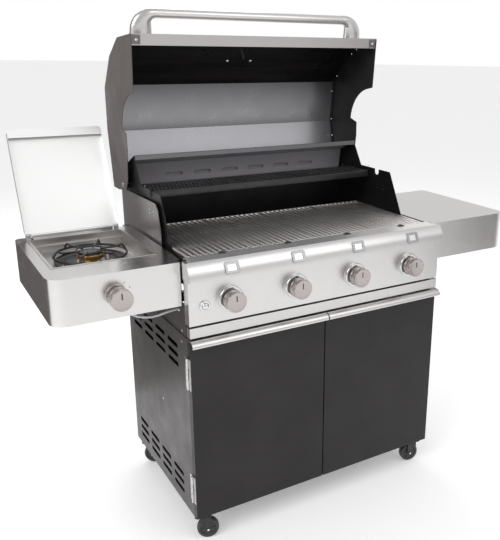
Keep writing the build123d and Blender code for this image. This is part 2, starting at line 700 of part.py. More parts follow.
# ---- side shelves and side burner ----
def shelf_body():
    """Left-hand shelf: a folded box, open underneath, with a rounded outer front corner."""
    x = (-SHELF_OUTER, -SHELF_INNER)
    body = block(x, SHELF_Y, SHELF_Z)
    outer_edges = body.edges().filter_by(Axis.Z).sort_by(Axis.X)[:2].sort_by(Axis.Y)
    body = fillet(outer_edges[0], 45)
    corner = body.edges().filter_by(Axis.Z).filter_by_position(Axis.X, -SHELF_OUTER - 1, -SHELF_OUTER + 1)
    body = fillet(corner.sort_by(Axis.Y)[-1], 18)
    hollow = offset(body.faces().sort_by(Axis.Z)[0], amount=-SHEET)
    cavity = extrude(hollow, amount=SHELF_Z[1] - SHELF_Z[0] - SHEET, dir=(0, 0, 1))
    lip_x = (-SHELF_INNER, -SHELF_INNER + 10)
    lip = block(lip_x, (SHELF_Y[0] + 26, SHELF_Y[1]), (SHELF_Z[1] - SHEET, SHELF_Z[1]))
    shelf = body - cavity + lip
    for y in ARM_YS:
        notch_x = (-SHELF_INNER - 5, -SHELF_INNER + 5)
        shelf -= block(notch_x, (y, y + ARM_DEPTH), (SHELF_Z[0] + 8, SHELF_Z[0] + 34))
    return shelf


def left_shelf():
    """Shelf with the opening for the side burner bowl and the hole for its valve stem."""
    shelf = shelf_body()
    shelf -= block(BOWL_X, BOWL_Y, (SHELF_Z[1] - 10, SHELF_Z[1] + 10))
    return shelf - rod("y", (SIDE_KNOB[0], SHELF_Y[0], SIDE_KNOB[1]), 6, 10)


def side_bowl():
    """Stainless bowl hung in the shelf's opening, with three seats for the trivet."""
    gap = 0.4
    x = (BOWL_X[0] + gap, BOWL_X[1] - gap)
    y = (BOWL_Y[0] + gap, BOWL_Y[1] - gap)
    bowl = block(x, y, (BOWL_FLOOR, SHELF_Z[1] + 0.2))
    inside = [(span[0] + 1.2, span[1] - 1.2) for span in (x, y)]
    bowl -= block(inside[0], inside[1], (BOWL_FLOOR + 1.2, SHELF_Z[1] + 10))
    rim = block((x[0] - 6, x[1] + 6), (y[0] - 6, y[1] + 2), (SHELF_Z[1] + 0.2, SHELF_Z[1] + 1.2))
    rim -= block(inside[0], inside[1], (SHELF_Z[1] - 10, SHELF_Z[1] + 10))
    step = block((x[0], x[1]), (y[0], y[0] + 14), (904, 905.2))
    step += block((x[0], x[1]), (y[1] - 14, y[1]), (904, 905.2))
    bowl += rim + step
    for turn in (90, 210, 330):
        place = Pos(*SIDE_BURNER) * Rot(0, 0, turn) * Pos(TRIVET_RADIUS, 0)
        bowl += place * Pos(0, 0, BOWL_FLOOR + 0.5 + SEAT_HEIGHT / 2) * Cylinder(4, SEAT_HEIGHT)
    return bowl - rod("z", (*SIDE_BURNER, BOWL_FLOOR), 24, 20)


def side_burner():
    """Brass burner body, its flame ring and the cap."""
    x, y = SIDE_BURNER
    throat = rod("z", (x, y, 876), 22, 40)
    ring = rod("z", (x, y, 902), 40, 13)
    for step in range(24):
        ring -= Pos(x, y, 905) * Rot(0, 0, 15 * step) * Pos(38, 0, 0) * Box(8, 2.2, 4)
    cap = rod("z", (x, y, 912), 36, 6.8)
    cap = fillet(cap.edges().sort_by(Axis.Z)[-1], 3)
    mixer = rod("y", (x, 228, 862), 11, 150)
    return [throat + ring + mixer, cap]


def pot_support():
    """Lift-off wire trivet: a ring with six bent fingers, lying on the bowl's seats."""
    ring_z = BOWL_FLOOR + 0.5 + SEAT_HEIGHT + TRIVET_WIRE
    post = TRIVET_TOP - ring_z
    reach = 56
    trivet = Pos(0, 0, ring_z) * Torus(TRIVET_RADIUS, TRIVET_WIRE)
    for step in range(6):
        finger = Pos(-reach / 2, 0, post) * Rot(0, 90, 0) * Cylinder(TRIVET_WIRE, reach)
        finger += Pos(0, 0, post / 2) * Cylinder(TRIVET_WIRE, post)
        finger += Pos(0, 0, post) * Sphere(TRIVET_WIRE)
        finger += Pos(-reach, 0, post) * Sphere(TRIVET_WIRE)
        trivet += Rot(0, 0, 30 + 60 * step) * Pos(TRIVET_RADIUS, 0, ring_z) * finger
    return Pos(*SIDE_BURNER) * Rot(0, 0, 30) * trivet


def side_lid():
    """Folded lid over the side burner, drawn shut and then turned open."""
    x = LID_X
    y = (BOWL_Y[0] + 2, LID_PIVOT[0] + 2)
    top = LID_TOP
    skirt = 16.5
    return_lip = 26.0
    corner = 12.0
    blank = rounded_block(x, y, (top - skirt, top), corner, Axis.Z)
    hollow = (x[0] + 1.2, x[1] - 1.2), (y[0] + 1.2, y[1] - 1.2), (top - skirt - 5, top - 1.2)
    lid = blank - rounded_block(*hollow, corner - 1.2, Axis.Z)
    lid += blank & block(x, (y[0], y[0] + 1 + return_lip), (top - skirt, top - skirt + 1.2))
    lid -= block(x, (LID_PIVOT[0] - 10, y[1] + 5), (top - skirt - 5, LID_PIVOT[1] + 5))
    knuckle = rod("x", ((x[0] + x[1]) / 2, *LID_PIVOT), 4.5, x[1] - x[0] - 40)
    web = block((x[0] + 20, x[1] - 20), (LID_PIVOT[0] - 1.5, LID_PIVOT[0] + 1.5), (LID_PIVOT[1], top - 0.5))
    lid += knuckle + web
    lid -= rod("x", ((x[0] + x[1]) / 2, *LID_PIVOT), LID_PIN + SHAFT_CLEARANCE, 400)
    pivot = Pos(0, *LID_PIVOT)
    return pivot * Rot(-LID_OPEN, 0, 0) * Pos(0, -LID_PIVOT[0], -LID_PIVOT[1]) * lid


def lid_hinge_pin():
    """Hinge pin held in two ears on the shelf."""
    x = LID_X
    pin = rod("x", ((x[0] + x[1]) / 2, *LID_PIVOT), LID_PIN, x[1] - x[0] - 3)
    for side in (x[0] + 9, x[1] - 9):
        ear_y = (LID_PIVOT[0] - 3.5, LID_PIVOT[0] + 3.5)
        ear = block((side - 7, side + 7), ear_y, (SHELF_Z[1], LID_PIVOT[1]))
        pin += ear + rod("x", (side, *LID_PIVOT), 5, 14)
    return pin


# ---- fasteners ----
def dome_screw(x, y, z, side):
    """Round-headed screw standing on a side face."""
    head = Pos(x, y, z) * Rot(0, 90 * side, 0) * Pos(0, 0, 1) * Cylinder(4, 2)
    return fillet(head.edges().sort_by(Axis.X)[0 if side < 0 else -1], 1.2)


def fasteners():
    """Hood pivot bolts, side lid pin, side panel screws and the pegs under the warming rack."""
    bolt = rod("x", (-446, *PIVOT), 4, 20)
    head = rod("x", (-455.5, *PIVOT), 8, 4)
    bolt += fillet(head.edges().sort_by(Axis.X)[0], 2)
    pieces = both_sides(bolt)
    pieces.append(lid_hinge_pin())
    for y, z in ((256, 399), (64, 674)):
        pieces += both_sides(dome_screw(-HALF_WIDTH, y, z, -1))
    pieces += both_sides(dome_screw(-HALF_WIDTH + 2.5, 64, 708, -1))
    for y in (398, 486):
        peg_x = (SHEET - LINER_HALF, SHEET - LINER_HALF + 15)
        pieces += both_sides(block(peg_x, (y - 4, y + 4), (RACK_Z - 10, RACK_Z - 2)))
    return pieces


# ---- casters ----
def at_caster(index, shape):
    """Puts a caster piece, drawn with its stem on the Z axis and trailing to +X, at one corner."""
    side, back = CORNERS[index]
    return Pos(side * CASTER_X, CASTER_Y[back], 0) * Rot(0, 0, CASTER_ANGLES[index]) * shape


def caster_fork(index):
    """Swivel stem, crown, two arms and the axle."""
    fork = rod("z", (0, 0, 99), 6, 30) + rod("z", (0, 0, 86), 16, 6)
    crown = rounded_block((-17, CASTER_TRAIL + 12), (-17, 17), (77, 84), 8, Axis.Z)
    fork += crown
    for side in (-1, 1):
        y = (side * 15, side * 18)
        arm = block((CASTER_TRAIL - 24, CASTER_TRAIL + 10), (min(y), max(y)), (58, 79))
        arm += block((CASTER_TRAIL - 10, CASTER_TRAIL + 10), (min(y), max(y)), (WHEEL_RADIUS, 60))
        arm += rod("y", (CASTER_TRAIL, side * 16.5, WHEEL_RADIUS), 10, 3)
        fork += arm
    fork += rod("y", (CASTER_TRAIL, 0, WHEEL_RADIUS), STEM_RADIUS, 42)
    return at_caster(index, fork)


def caster_wheel(index):
    """Moulded wheel with a rounded tread and dished sides."""
    centre = (CASTER_TRAIL, 0, WHEEL_RADIUS)
    wheel = rod("y", centre, WHEEL_RADIUS, 24)
    wheel = fillet(wheel.edges(), 5)
    for face_y in (-12, 12):
        wheel -= rod("y", (CASTER_TRAIL, face_y, WHEEL_RADIUS), 24, 8)
    wheel += rod("y", centre, 9, 27)
    return at_caster(index, wheel - rod("y", centre, STEM_RADIUS + SHAFT_CLEARANCE, 60))


# ---- all nodes ----
def hinge_set():
    """The fixed hinge leaves and pins of both doors."""
    pieces = []
    for piece in left_hinges_fixed():
        pieces += both_sides(piece)
    return pieces


def nodes():
    """Every node's name and shape, in the drawing frame."""
    door = left_door()
    trim = left_door_trim()
    panel = side_panel()
    parts = {
        "base_pan": base_pan(),
        "side_panel_left": panel,
        "side_panel_right": mirror(panel, about=Plane.YZ),
        "back_panel": back_panel(),
        "cabinet_frame": cabinet_frame(),
        "lower_fascia": lower_fascia(),
        "door_left": door,
        "door_right": mirror(door, about=Plane.YZ),
        "door_trim_left": group(trim),
        "door_trim_right": group([mirror(piece, about=Plane.YZ) for piece in trim]),
        "door_hinges": group(hinge_set()),
        "control_panel": control_panel(),
        "burner_window_frames": group(burner_window_frames()),
        "burner_windows": group(burner_windows()),
        "knob_bezels": group(knob_bezels()),
        "igniter_button": igniter_button(),
        "gas_manifold": gas_manifold(),
        "side_burner_hose": side_burner_hose(),
        "burners": group(burners()),
        "emitter_plates": group(emitter_plates()),
        "firebox_shell": firebox_shell(),
        "firebox_liner": firebox_liner(),
        "front_rail": front_rail(),
        "rail_clips": group(rail_clips()),
        "warming_rack": warming_rack(),
        "grease_tray": grease_tray(),
        "hood_skin": hood_skin(),
        "hood_liner": hood_liner(),
        "hood_cheeks": hood_cheeks(),
        "hood_handle": hood_handle(),
        "thermometer": thermometer(),
        "shelf_left": left_shelf(),
        "shelf_right": mirror(shelf_body(), about=Plane.YZ),
        "side_bowl": side_bowl(),
        "side_burner": group(side_burner()),
        "pot_support": pot_support(),
        "side_lid": side_lid(),
        "fasteners": group(fasteners()),
    }
    for number, x in enumerate(BURNER_XS, start=1):
        parts[f"cooking_grate_{number}"] = cooking_grate(GRATE_PITCH * (number - 2.5))
        parts[f"knob_{number}"] = knob(x, KNOB_Z, KNOB_FACE)
        parts[f"valve_stem_{number}"] = valve_stem(x, KNOB_Z, KNOB_FACE)
    parts["side_knob"] = knob(*SIDE_KNOB, SIDE_KNOB_FACE)
    parts["side_valve_stem"] = valve_stem(*SIDE_KNOB, SIDE_KNOB_FACE)
    for index in range(len(CORNERS)):
        parts[f"caster_fork_{index + 1}"] = caster_fork(index)
        parts[f"caster_wheel_{index + 1}"] = caster_wheel(index)
    return parts


os.makedirs("parts", exist_ok=True)
low_y = []
high_y = []
for name, shape in nodes().items():
    solids = [Pos(0, -Y_MIDDLE, 0) * solid for solid in shape.solids()]
    placed = solids[0] if len(solids) == 1 else Compound(solids)
    export_step(placed, f"parts/{name}.step")
    box = placed.bounding_box()
    low_y.append(box.min.Y)
    high_y.append(box.max.Y)
print("y from", round(min(low_y), 3), "to", round(max(high_y), 3), "moved by", round(-Y_MIDDLE, 3))
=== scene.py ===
"""Looks of the gas barbecue grill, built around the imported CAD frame.

Metres, in the CAD frame. Sizes below are in millimetres where a name ends in _MM; mm() turns a place measured
from the middle of the object, the face of the doors and the floor into the CAD frame.
"""

import json
from math import cos, pi, radians, sin

import bmesh
import bpy
from mathutils import Matrix, Vector


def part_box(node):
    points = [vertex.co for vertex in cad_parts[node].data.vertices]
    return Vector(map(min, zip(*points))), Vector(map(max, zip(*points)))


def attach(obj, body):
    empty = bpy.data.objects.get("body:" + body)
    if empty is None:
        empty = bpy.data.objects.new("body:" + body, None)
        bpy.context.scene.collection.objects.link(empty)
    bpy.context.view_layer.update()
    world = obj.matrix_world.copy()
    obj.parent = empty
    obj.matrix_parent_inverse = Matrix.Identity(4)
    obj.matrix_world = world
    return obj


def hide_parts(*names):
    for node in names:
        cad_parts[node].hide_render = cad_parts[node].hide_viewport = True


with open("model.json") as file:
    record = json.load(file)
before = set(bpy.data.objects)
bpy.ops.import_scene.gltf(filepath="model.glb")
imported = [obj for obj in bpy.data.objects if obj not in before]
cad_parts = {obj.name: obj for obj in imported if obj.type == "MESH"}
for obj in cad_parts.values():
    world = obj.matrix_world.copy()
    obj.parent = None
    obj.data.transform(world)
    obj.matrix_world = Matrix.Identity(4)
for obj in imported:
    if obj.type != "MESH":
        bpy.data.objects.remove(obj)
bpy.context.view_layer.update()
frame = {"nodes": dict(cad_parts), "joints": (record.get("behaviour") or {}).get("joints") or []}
nodes = frame["nodes"]

DOOR_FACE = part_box("door_left")[0].y  # y of the doors' front face


def mm(x, y, z):
    """A place in millimetres from the middle, the door face and the floor, in the CAD frame."""
    return Vector((x / 1000, y / 1000 + DOOR_FACE, z / 1000))


# ---- camera, light and floor ----
CAMERA_PLACE_MM = (-1134, -1754, 1514)
CAMERA_YAW = radians(32.41)
CAMERA_PITCH = radians(17.06)
CAMERA_ROLL = radians(0.90)
LENS = 46.6
SHIFT = (-0.131, -0.0194)
FLOOR_RADIUS = 60.0
WORLD_STRENGTH = 0.95


def add_camera():
    """Camera at the photograph's angle."""
    ahead = cos(CAMERA_PITCH)
    forward = Vector((sin(CAMERA_YAW) * ahead, cos(CAMERA_YAW) * ahead, -sin(CAMERA_PITCH)))
    level = Vector((cos(CAMERA_YAW), -sin(CAMERA_YAW), 0))
    upright = level.cross(forward)
    right = cos(CAMERA_ROLL) * level + sin(CAMERA_ROLL) * upright
    up = cos(CAMERA_ROLL) * upright - sin(CAMERA_ROLL) * level
    turn = Matrix((right, up, -forward)).transposed()
    camera = bpy.data.objects.new("camera", bpy.data.cameras.new("camera"))
    camera.data.lens = LENS
    camera.data.shift_x, camera.data.shift_y = SHIFT
    camera.matrix_world = Matrix.Translation(mm(*CAMERA_PLACE_MM)) @ turn.to_4x4()
    bpy.context.scene.collection.objects.link(camera)
    bpy.context.scene.camera = camera


def add_light(name, place, target, size, power):
    """Soft square light pointing from place to target."""
    light = bpy.data.objects.new(name, bpy.data.lights.new(name, "AREA"))
    light.data.size = size
    light.data.energy = power
    direction = Vector(target) - Vector(place)
    light.matrix_world = Matrix.Translation(place) @ direction.to_track_quat("-Z", "Y").to_matrix().to_4x4()
    bpy.context.scene.collection.objects.link(light)


def map_range(tree, value, low, high, start, end):
    """Output of a node that turns value from start to end into low to high."""
    node = tree.nodes.new("ShaderNodeMapRange")
    node.inputs["From Min"].default_value = start
    node.inputs["From Max"].default_value = end
    node.inputs["To Min"].default_value = low
    node.inputs["To Max"].default_value = high
    tree.links.new(value, node.inputs["Value"])
    return node.outputs["Result"]


def add_world():
    """Plain white to the camera; light and reflections get dimmer to the left and slightly to the front."""
    world = bpy.data.worlds.new("studio")
    world.use_nodes = True
    bpy.context.scene.world = world
    tree = world.node_tree
    tree.nodes.clear()
    out = tree.nodes.new("ShaderNodeOutputWorld")
    shade = tree.nodes.new("ShaderNodeBackground")
    place = tree.nodes.new("ShaderNodeTexCoord")
    split = tree.nodes.new("ShaderNodeSeparateXYZ")
    both = tree.nodes.new("ShaderNodeMath")
    both.operation = "MULTIPLY"
    strength = tree.nodes.new("ShaderNodeMath")
    strength.operation = "MULTIPLY"
    strength.inputs[1].default_value = WORLD_STRENGTH
    tree.links.new(place.outputs["Generated"], split.inputs[0])
    tree.links.new(map_range(tree, split.outputs["Y"], 0.98, 1.0, -0.95, -0.2), both.inputs[0])
    tree.links.new(map_range(tree, split.outputs["X"], 0.72, 1.05, -0.7, 0.8), both.inputs[1])
    tree.links.new(both.outputs[0], strength.inputs[0])
    tree.links.new(strength.outputs[0], shade.inputs["Strength"])
    camera_only = tree.nodes.new("ShaderNodeLightPath")
    plain = tree.nodes.new("ShaderNodeBackground")
    mix = tree.nodes.new("ShaderNodeMixShader")
    plain.inputs["Color"].default_value = (1.0, 1.0, 1.0, 1)
    tree.links.new(camera_only.outputs["Is Camera Ray"], mix.inputs[0])
    tree.links.new(shade.outputs[0], mix.inputs[1])
    tree.links.new(plain.outputs[0], mix.inputs[2])
    tree.links.new(mix.outputs[0], out.inputs[0])


def stage_piece(name, bm, colour, roughness):
    """Puts a plain studio object in the scene and returns it with its shader."""
    mesh = bpy.data.meshes.new(name)
    bm.to_mesh(mesh)
    bm.free()
    piece = bpy.data.objects.new(name, mesh)
    bpy.context.scene.collection.objects.link(piece)
    material = bpy.data.materials.new(name)
    material.use_nodes = True
    shader = material.node_tree.nodes["Principled BSDF"]
    shader.inputs["Base Color"].default_value = (*colour, 1)
    shader.inputs["Roughness"].default_value = roughness
    mesh.materials.append(material)
    return piece, shader


def add_floor():
    """Plain pale floor that glows faintly, so that it stays as pale as the background."""
    bm = bmesh.new()
    bmesh.ops.create_circle(bm, cap_ends=True, segments=64, radius=FLOOR_RADIUS)
    floor, shader = stage_piece("floor", bm, (0.93, 0.93, 0.93), 0.8)
    shader.inputs["Specular IOR Level"].default_value = 0.1
    shader.inputs["Emission Color"].default_value = (1, 1, 1, 1)
    shader.inputs["Emission Strength"].default_value = 0.25


def add_flag(name, x, y, height):
    """Dark upright board across the studio, seen only in reflections; x is its (left, right)."""
    bm = bmesh.new()
    corners = ((x[0], y, 0.0), (x[1], y, 0.0), (x[1], y, height), (x[0], y, height))
    bm.faces.new([bm.verts.new(corner) for corner in corners])
    flag, _ = stage_piece(name, bm, (0.11, 0.097, 0.094), 0.9)
    flag.visible_camera = False
    flag.visible_diffuse = False
    flag.visible_shadow = False


add_camera()
add_world()
add_floor()
add_flag("flag_left", (-3.0, -0.58), 0.75, 2.2)
add_flag("flag_right", (1.55, 3.6), -1.5, 1.3)
add_light("key", (-3.4, -1.6, 3.2), (0, -0.1, 0.9), 2.6, 70)
add_light("fill", (1.6, -3.4, 3.4), (0, 0, 0.9), 2.4, 24)
add_light("back", (0.5, 3.0, 3.6), (0, 0, 1.0), 2.5, 50)
bpy.context.scene.view_settings.view_transform = "Standard"


# ---- materials ----
class Finish:
    """One procedural material, with short calls for the nodes that these finishes share."""

    def __init__(self, name, metallic, colour, roughness, coat=0.0, specular=0.5):
        self.material = bpy.data.materials.new(name)
        self.material.use_nodes = True
        self.tree = self.material.node_tree
        self.shader = self.tree.nodes["Principled BSDF"]
        self.shader.inputs["Metallic"].default_value = metallic
        self.shader.inputs["Base Color"].default_value = (*colour, 1)
        self.shader.inputs["Roughness"].default_value = roughness
        self.shader.inputs["Specular IOR Level"].default_value = specular
        if coat:
            self.shader.inputs["Coat Weight"].default_value = coat
            self.shader.inputs["Coat Roughness"].default_value = 0.08
        self.place = self.tree.nodes.new("ShaderNodeTexCoord").outputs["Object"]
        self.normal = None

    def noise(self, scale, detail=3.0, rough=0.55, distortion=0.0):
        """Noise value; scale is one number, or one for each axis, in features per metre."""
        scales = scale if isinstance(scale, tuple) else (scale, scale, scale)
        mapping = self.tree.nodes.new("ShaderNodeMapping")
        mapping.inputs["Scale"].default_value = scales
        texture = self.tree.nodes.new("ShaderNodeTexNoise")
        texture.inputs["Scale"].default_value = 1.0
        texture.inputs["Detail"].default_value = detail
        texture.inputs["Roughness"].default_value = rough
        texture.inputs["Distortion"].default_value = distortion
        self.tree.links.new(self.place, mapping.inputs["Vector"])
        self.tree.links.new(mapping.outputs[0], texture.inputs["Vector"])
        return texture.outputs["Fac"]

    def spread(self, value, low, high, start=0.3, end=0.7):
        """Value from start to end becomes low to high."""
        return map_range(self.tree, value, low, high, start, end)

    def maths(self, operation, first, second):
        """One arithmetic step on two values."""
        node = self.tree.nodes.new("ShaderNodeMath")
        node.operation = operation
        for socket, value in zip(node.inputs, (first, second)):
            if isinstance(value, float):
                socket.default_value = value
            else:
                self.tree.links.new(value, socket)
        return node.outputs[0]

    def blend(self, value, first, second):
        """Colour from first to second as value goes from 0 to 1."""
        node = self.tree.nodes.new("ShaderNodeMix")
        node.data_type = "RGBA"
        for socket, colour in zip((node.inputs[6], node.inputs[7]), (first, second)):
            if isinstance(colour, tuple):
                socket.default_value = (*colour, 1)
            else:
                self.tree.links.new(colour, socket)
        self.tree.links.new(value, node.inputs[0])
        return node.outputs[2]

    def edges(self, width):
        """1 along sharp edges, 0 on flat places."""
        bevel = self.tree.nodes.new("ShaderNodeBevel")
        bevel.samples = 4
        bevel.inputs["Radius"].default_value = width
        plain = self.tree.nodes.new("ShaderNodeNewGeometry")
        dot = self.tree.nodes.new("ShaderNodeVectorMath")
        dot.operation = "DOT_PRODUCT"
        self.tree.links.new(bevel.outputs[0], dot.inputs[0])
        self.tree.links.new(plain.outputs["Normal"], dot.inputs[1])
        return self.spread(dot.outputs["Value"], 1.0, 0.0, 0.75, 0.99)

    def colour(self, value):
        self.tree.links.new(value, self.shader.inputs["Base Color"])

    def roughness(self, value):
        self.tree.links.new(value, self.shader.inputs["Roughness"])

    def bump(self, value, distance):
        """Relief, added to any relief given before."""
        node = self.tree.nodes.new("ShaderNodeBump")
        node.inputs["Distance"].default_value = distance
        node.inputs["Strength"].default_value = 1.0
        self.tree.links.new(value, node.inputs["Height"])
        if self.normal is not None:
            self.tree.links.new(self.normal, node.inputs["Normal"])
        self.normal = node.outputs["Normal"]
        self.tree.links.new(self.normal, self.shader.inputs["Normal"])


def brushed(name, colour, roughness, grain, depth=0.000004, tone=0.965, coarse=900.0):
    """Brushed sheet steel. grain is the axis that the brush lines follow."""
    finish = Finish(name, 1.0, colour, roughness)
    scales = {"x": (6.0, coarse, coarse), "y": (coarse, 6.0, coarse), "z": (coarse, coarse, 6.0)}[grain]
    lines = finish.noise(scales, 3.0, 0.6)
    cloud = finish.noise(4.0, 3.0)
    smear = finish.noise(26.0, 4.0, 0.65)
    darker = tuple(channel * tone for channel in colour)
    toned = finish.blend(finish.spread(lines, 0.0, 1.0, 0.25, 0.75), darker, colour)
    aged = tuple(channel * 0.96 for channel in colour)
    finish.colour(finish.blend(finish.spread(cloud, 0.0, 0.6), toned, aged))
    rough = finish.spread(lines, roughness * 0.9, roughness * 1.12)
    finish.roughness(finish.maths("ADD", rough, finish.spread(smear, -0.015, 0.025)))
    finish.bump(lines, depth)
    return finish.material


def polished(name, colour, roughness, haze=0.06):
    """Smooth bright metal with a little haze, fine scratches and slight waviness."""
    finish = Finish(name, 1.0, colour, roughness)
    smear = finish.noise(22.0, 5.0, 0.6)
    scratch = finish.noise((260.0, 14.0, 90.0), 5.0, 0.7, 1.5)
    rough = finish.spread(smear, roughness, roughness + haze)
    finish.roughness(finish.maths("ADD", rough, finish.spread(scratch, 0.0, 0.05, 0.55, 0.75)))
    finish.colour(finish.blend(finish.spread(smear, 0.0, 1.0), colour, tuple(c * 0.93 for c in colour)))
    finish.bump(finish.noise(4.5, 2.0), 0.0006)
    finish.bump(scratch, 0.000006)
    return finish.material


def liner_with_painted_reflection(name, colour, roughness, edge_height, band):
    """Polished hood liner, darker towards edge_height over the band below it; above edge_height in the CAD
    frame it is painted black with faint streaks, a painted dark reflection of the dark parts that the upper
    facets face.
    """
    finish = Finish(name, 0.75, colour, roughness)
    split = finish.tree.nodes.new("ShaderNodeSeparateXYZ")
    finish.tree.links.new(finish.place, split.inputs[0])
    height = split.outputs["Z"]
    smear = finish.noise(18.0, 5.0, 0.6)
    streak = finish.noise((1.5, 30.0, 30.0), 4.0, 0.6)
    # Painted dark reflection above the bend: black with streaks, for the dark parts that the upper facets
    # mirror. Below the bend the colour only grows darker towards it.
    darker_near_bend = tuple(channel * 0.18 for channel in colour)
    graded_to_bend = finish.blend(finish.spread(height, 0.0, 1.0, edge_height - band, edge_height), colour, darker_near_bend)
    darkening = finish.blend(finish.spread(streak, 0.0, 1.0), (0.012, 0.011, 0.011), (0.034, 0.030, 0.029))
    black = finish.spread(height, 0.0, 1.0, edge_height - 0.0008, edge_height + 0.0008)
    finish.colour(finish.blend(black, graded_to_bend, darkening))
    finish.roughness(finish.spread(smear, roughness, roughness + 0.08))
    finish.bump(finish.noise(3.0, 2.0), 0.0008)
    finish.bump(finish.noise((900.0, 30.0, 30.0), 3.0), 0.000003)
    return finish.material


ENAMEL_PEEL = 0.00003  # depth of the orange peel


def enamel(name, colour, roughness, dust_amount=0.10, coat=0.0, wear=0.35, specular=0.5, painted_light_zone=None):
    """Painted or enamelled steel: orange peel, dust in patches and lighter worn edges.

    The last argument is (half width, lowest height, colour): painted light or shade, given as the colour of
    the paint between the two side planes and above that height.
    """
    finish = Finish(name, 0.0, colour, roughness, coat, specular)
    dust = (0.30, 0.28, 0.27)
    cloud = finish.noise(6.0, 4.0, 0.6)
    speck = finish.noise(420.0, 2.0)
    patches = finish.spread(cloud, 0.0, dust_amount, 0.35, 0.75)
    amount = finish.maths("MULTIPLY", patches, finish.spread(speck, 0.6, 1.0))
    base = colour
    # Painted light or shade: one flat colour between the side planes and above a height.
    if painted_light_zone is not None:
        half_width, lowest, painted_light_colour = painted_light_zone
        split = finish.tree.nodes.new("ShaderNodeSeparateXYZ")
        finish.tree.links.new(finish.place, split.inputs[0])
        aside = finish.maths("ABSOLUTE", split.outputs["X"], 0.0)
        between = finish.spread(aside, 1.0, 0.0, half_width - 0.0004, half_width + 0.0004)
        above = finish.spread(split.outputs["Z"], 0.0, 1.0, lowest - 0.004, lowest + 0.004)
        base = finish.blend(finish.maths("MULTIPLY", between, above), colour, painted_light_colour)
    dusty = finish.blend(amount, base, dust)
    worn = tuple(min(1.0, channel * 1.5 + 0.06) for channel in colour)
    rubbed = finish.spread(finish.noise(70.0), 0.0, wear, 0.35, 0.65)
    edge = finish.maths("MULTIPLY", finish.edges(0.0012), rubbed)
    finish.colour(finish.blend(edge, dusty, worn))
    smear = finish.noise(14.0, 4.0)
    finish.roughness(finish.spread(smear, roughness * 0.85, roughness * 1.25))
    finish.bump(finish.noise(900.0, 2.0), ENAMEL_PEEL)
    return finish.material


def moulded(name, colour, roughness, grain_scale=700.0, depth=0.00005):
    """Moulded plastic, rubber or cast surface with a fine grain."""
    finish = Finish(name, 0.0, colour, roughness)
    cloud = finish.noise(25.0, 3.0)
    lighter = tuple(min(1.0, channel * 1.35 + 0.012) for channel in colour)
    finish.colour(finish.blend(finish.spread(cloud, 0.0, 0.8), colour, lighter))
    finish.roughness(finish.spread(cloud, roughness * 0.85, roughness * 1.15))
    finish.bump(finish.noise(grain_scale, 3.0), depth)
    return finish.material


def zinc_plate(name, colour, roughness):
    """Zinc-plated or galvanised steel with a faint patchy spangle."""
    finish = Finish(name, 1.0, colour, roughness)
    cell = finish.noise(120.0, 2.0, 0.4, 0.6)
    finish.colour(finish.blend(finish.spread(cell, 0.0, 1.0), colour, tuple(c * 0.8 for c in colour)))
    finish.roughness(finish.spread(cell, roughness * 0.8, roughness * 1.3))
    finish.bump(finish.noise(500.0, 2.0), 0.00002)
    return finish.material


def seared_steel(name, colour, roughness, heat=0.75, darkening=0.5, bump=0.00003):
    """Steel that has been hot: straw and brown tints, soot in the low places."""
    finish = Finish(name, 1.0, colour, roughness)
    cloud = finish.noise(9.0, 4.0, 0.6)
    fine = finish.noise(160.0, 4.0, 0.65)
    warm = (colour[0] * 0.66, colour[1] * 0.58, colour[2] * 0.52)
    tint = finish.blend(finish.spread(cloud, 0.0, heat, 0.4, 0.7), colour, warm)
    dark = tuple(channel * 0.25 for channel in colour)
    finish.colour(finish.blend(finish.spread(fine, 0.0, darkening, 0.5, 0.75), tint, dark))
    finish.roughness(finish.spread(fine, roughness * 0.85, roughness * 1.3))
    finish.bump(fine, bump)
    return finish.material


def glass(name, colour, roughness=0.04, alpha=0.35):
    """Thin clear glass with faint smears."""
    finish = Finish(name, 0.0, colour, roughness)
    smear = finish.noise(60.0, 4.0)
    finish.roughness(finish.spread(smear, roughness, roughness + 0.08))
    finish.shader.inputs["Alpha"].default_value = alpha
    return finish.material


STEEL = (0.70, 0.69, 0.685)
HOOD_BEND_HEIGHT = 1.3741  # height of the bend between the upper and lower facets inside the open hood
steel_x = brushed("brushed_steel_x", STEEL, 0.30, "x")
steel_trim = brushed("trim_steel", (0.66, 0.645, 0.635), 0.30, "x")
steel_lip = brushed("hood_steel", (0.52, 0.50, 0.495), 0.32, "x")
steel_lid = brushed("lid_steel", (0.98, 0.98, 0.975), 0.45, "x", tone=0.99)
# One shelf steel in two copies: glossier on the left, rougher and slightly lighter on the right. This is
# painted light, standing in for the stronger light on the left shelf.
shelf_steel_left_painted_light = brushed("left_shelf_steel_painted_light", (0.70, 0.685, 0.675), 0.24, "y", tone=0.975)
shelf_steel_right_painted_light = brushed("right_shelf_steel_painted_light", (0.73, 0.717, 0.706), 0.34, "y", tone=0.975)
steel_knob = brushed("knob_steel", (0.50, 0.452, 0.435), 0.26, "x", tone=0.90, coarse=300.0)
steel_cast = polished("cast_handle_steel", (0.66, 0.65, 0.64), 0.22)
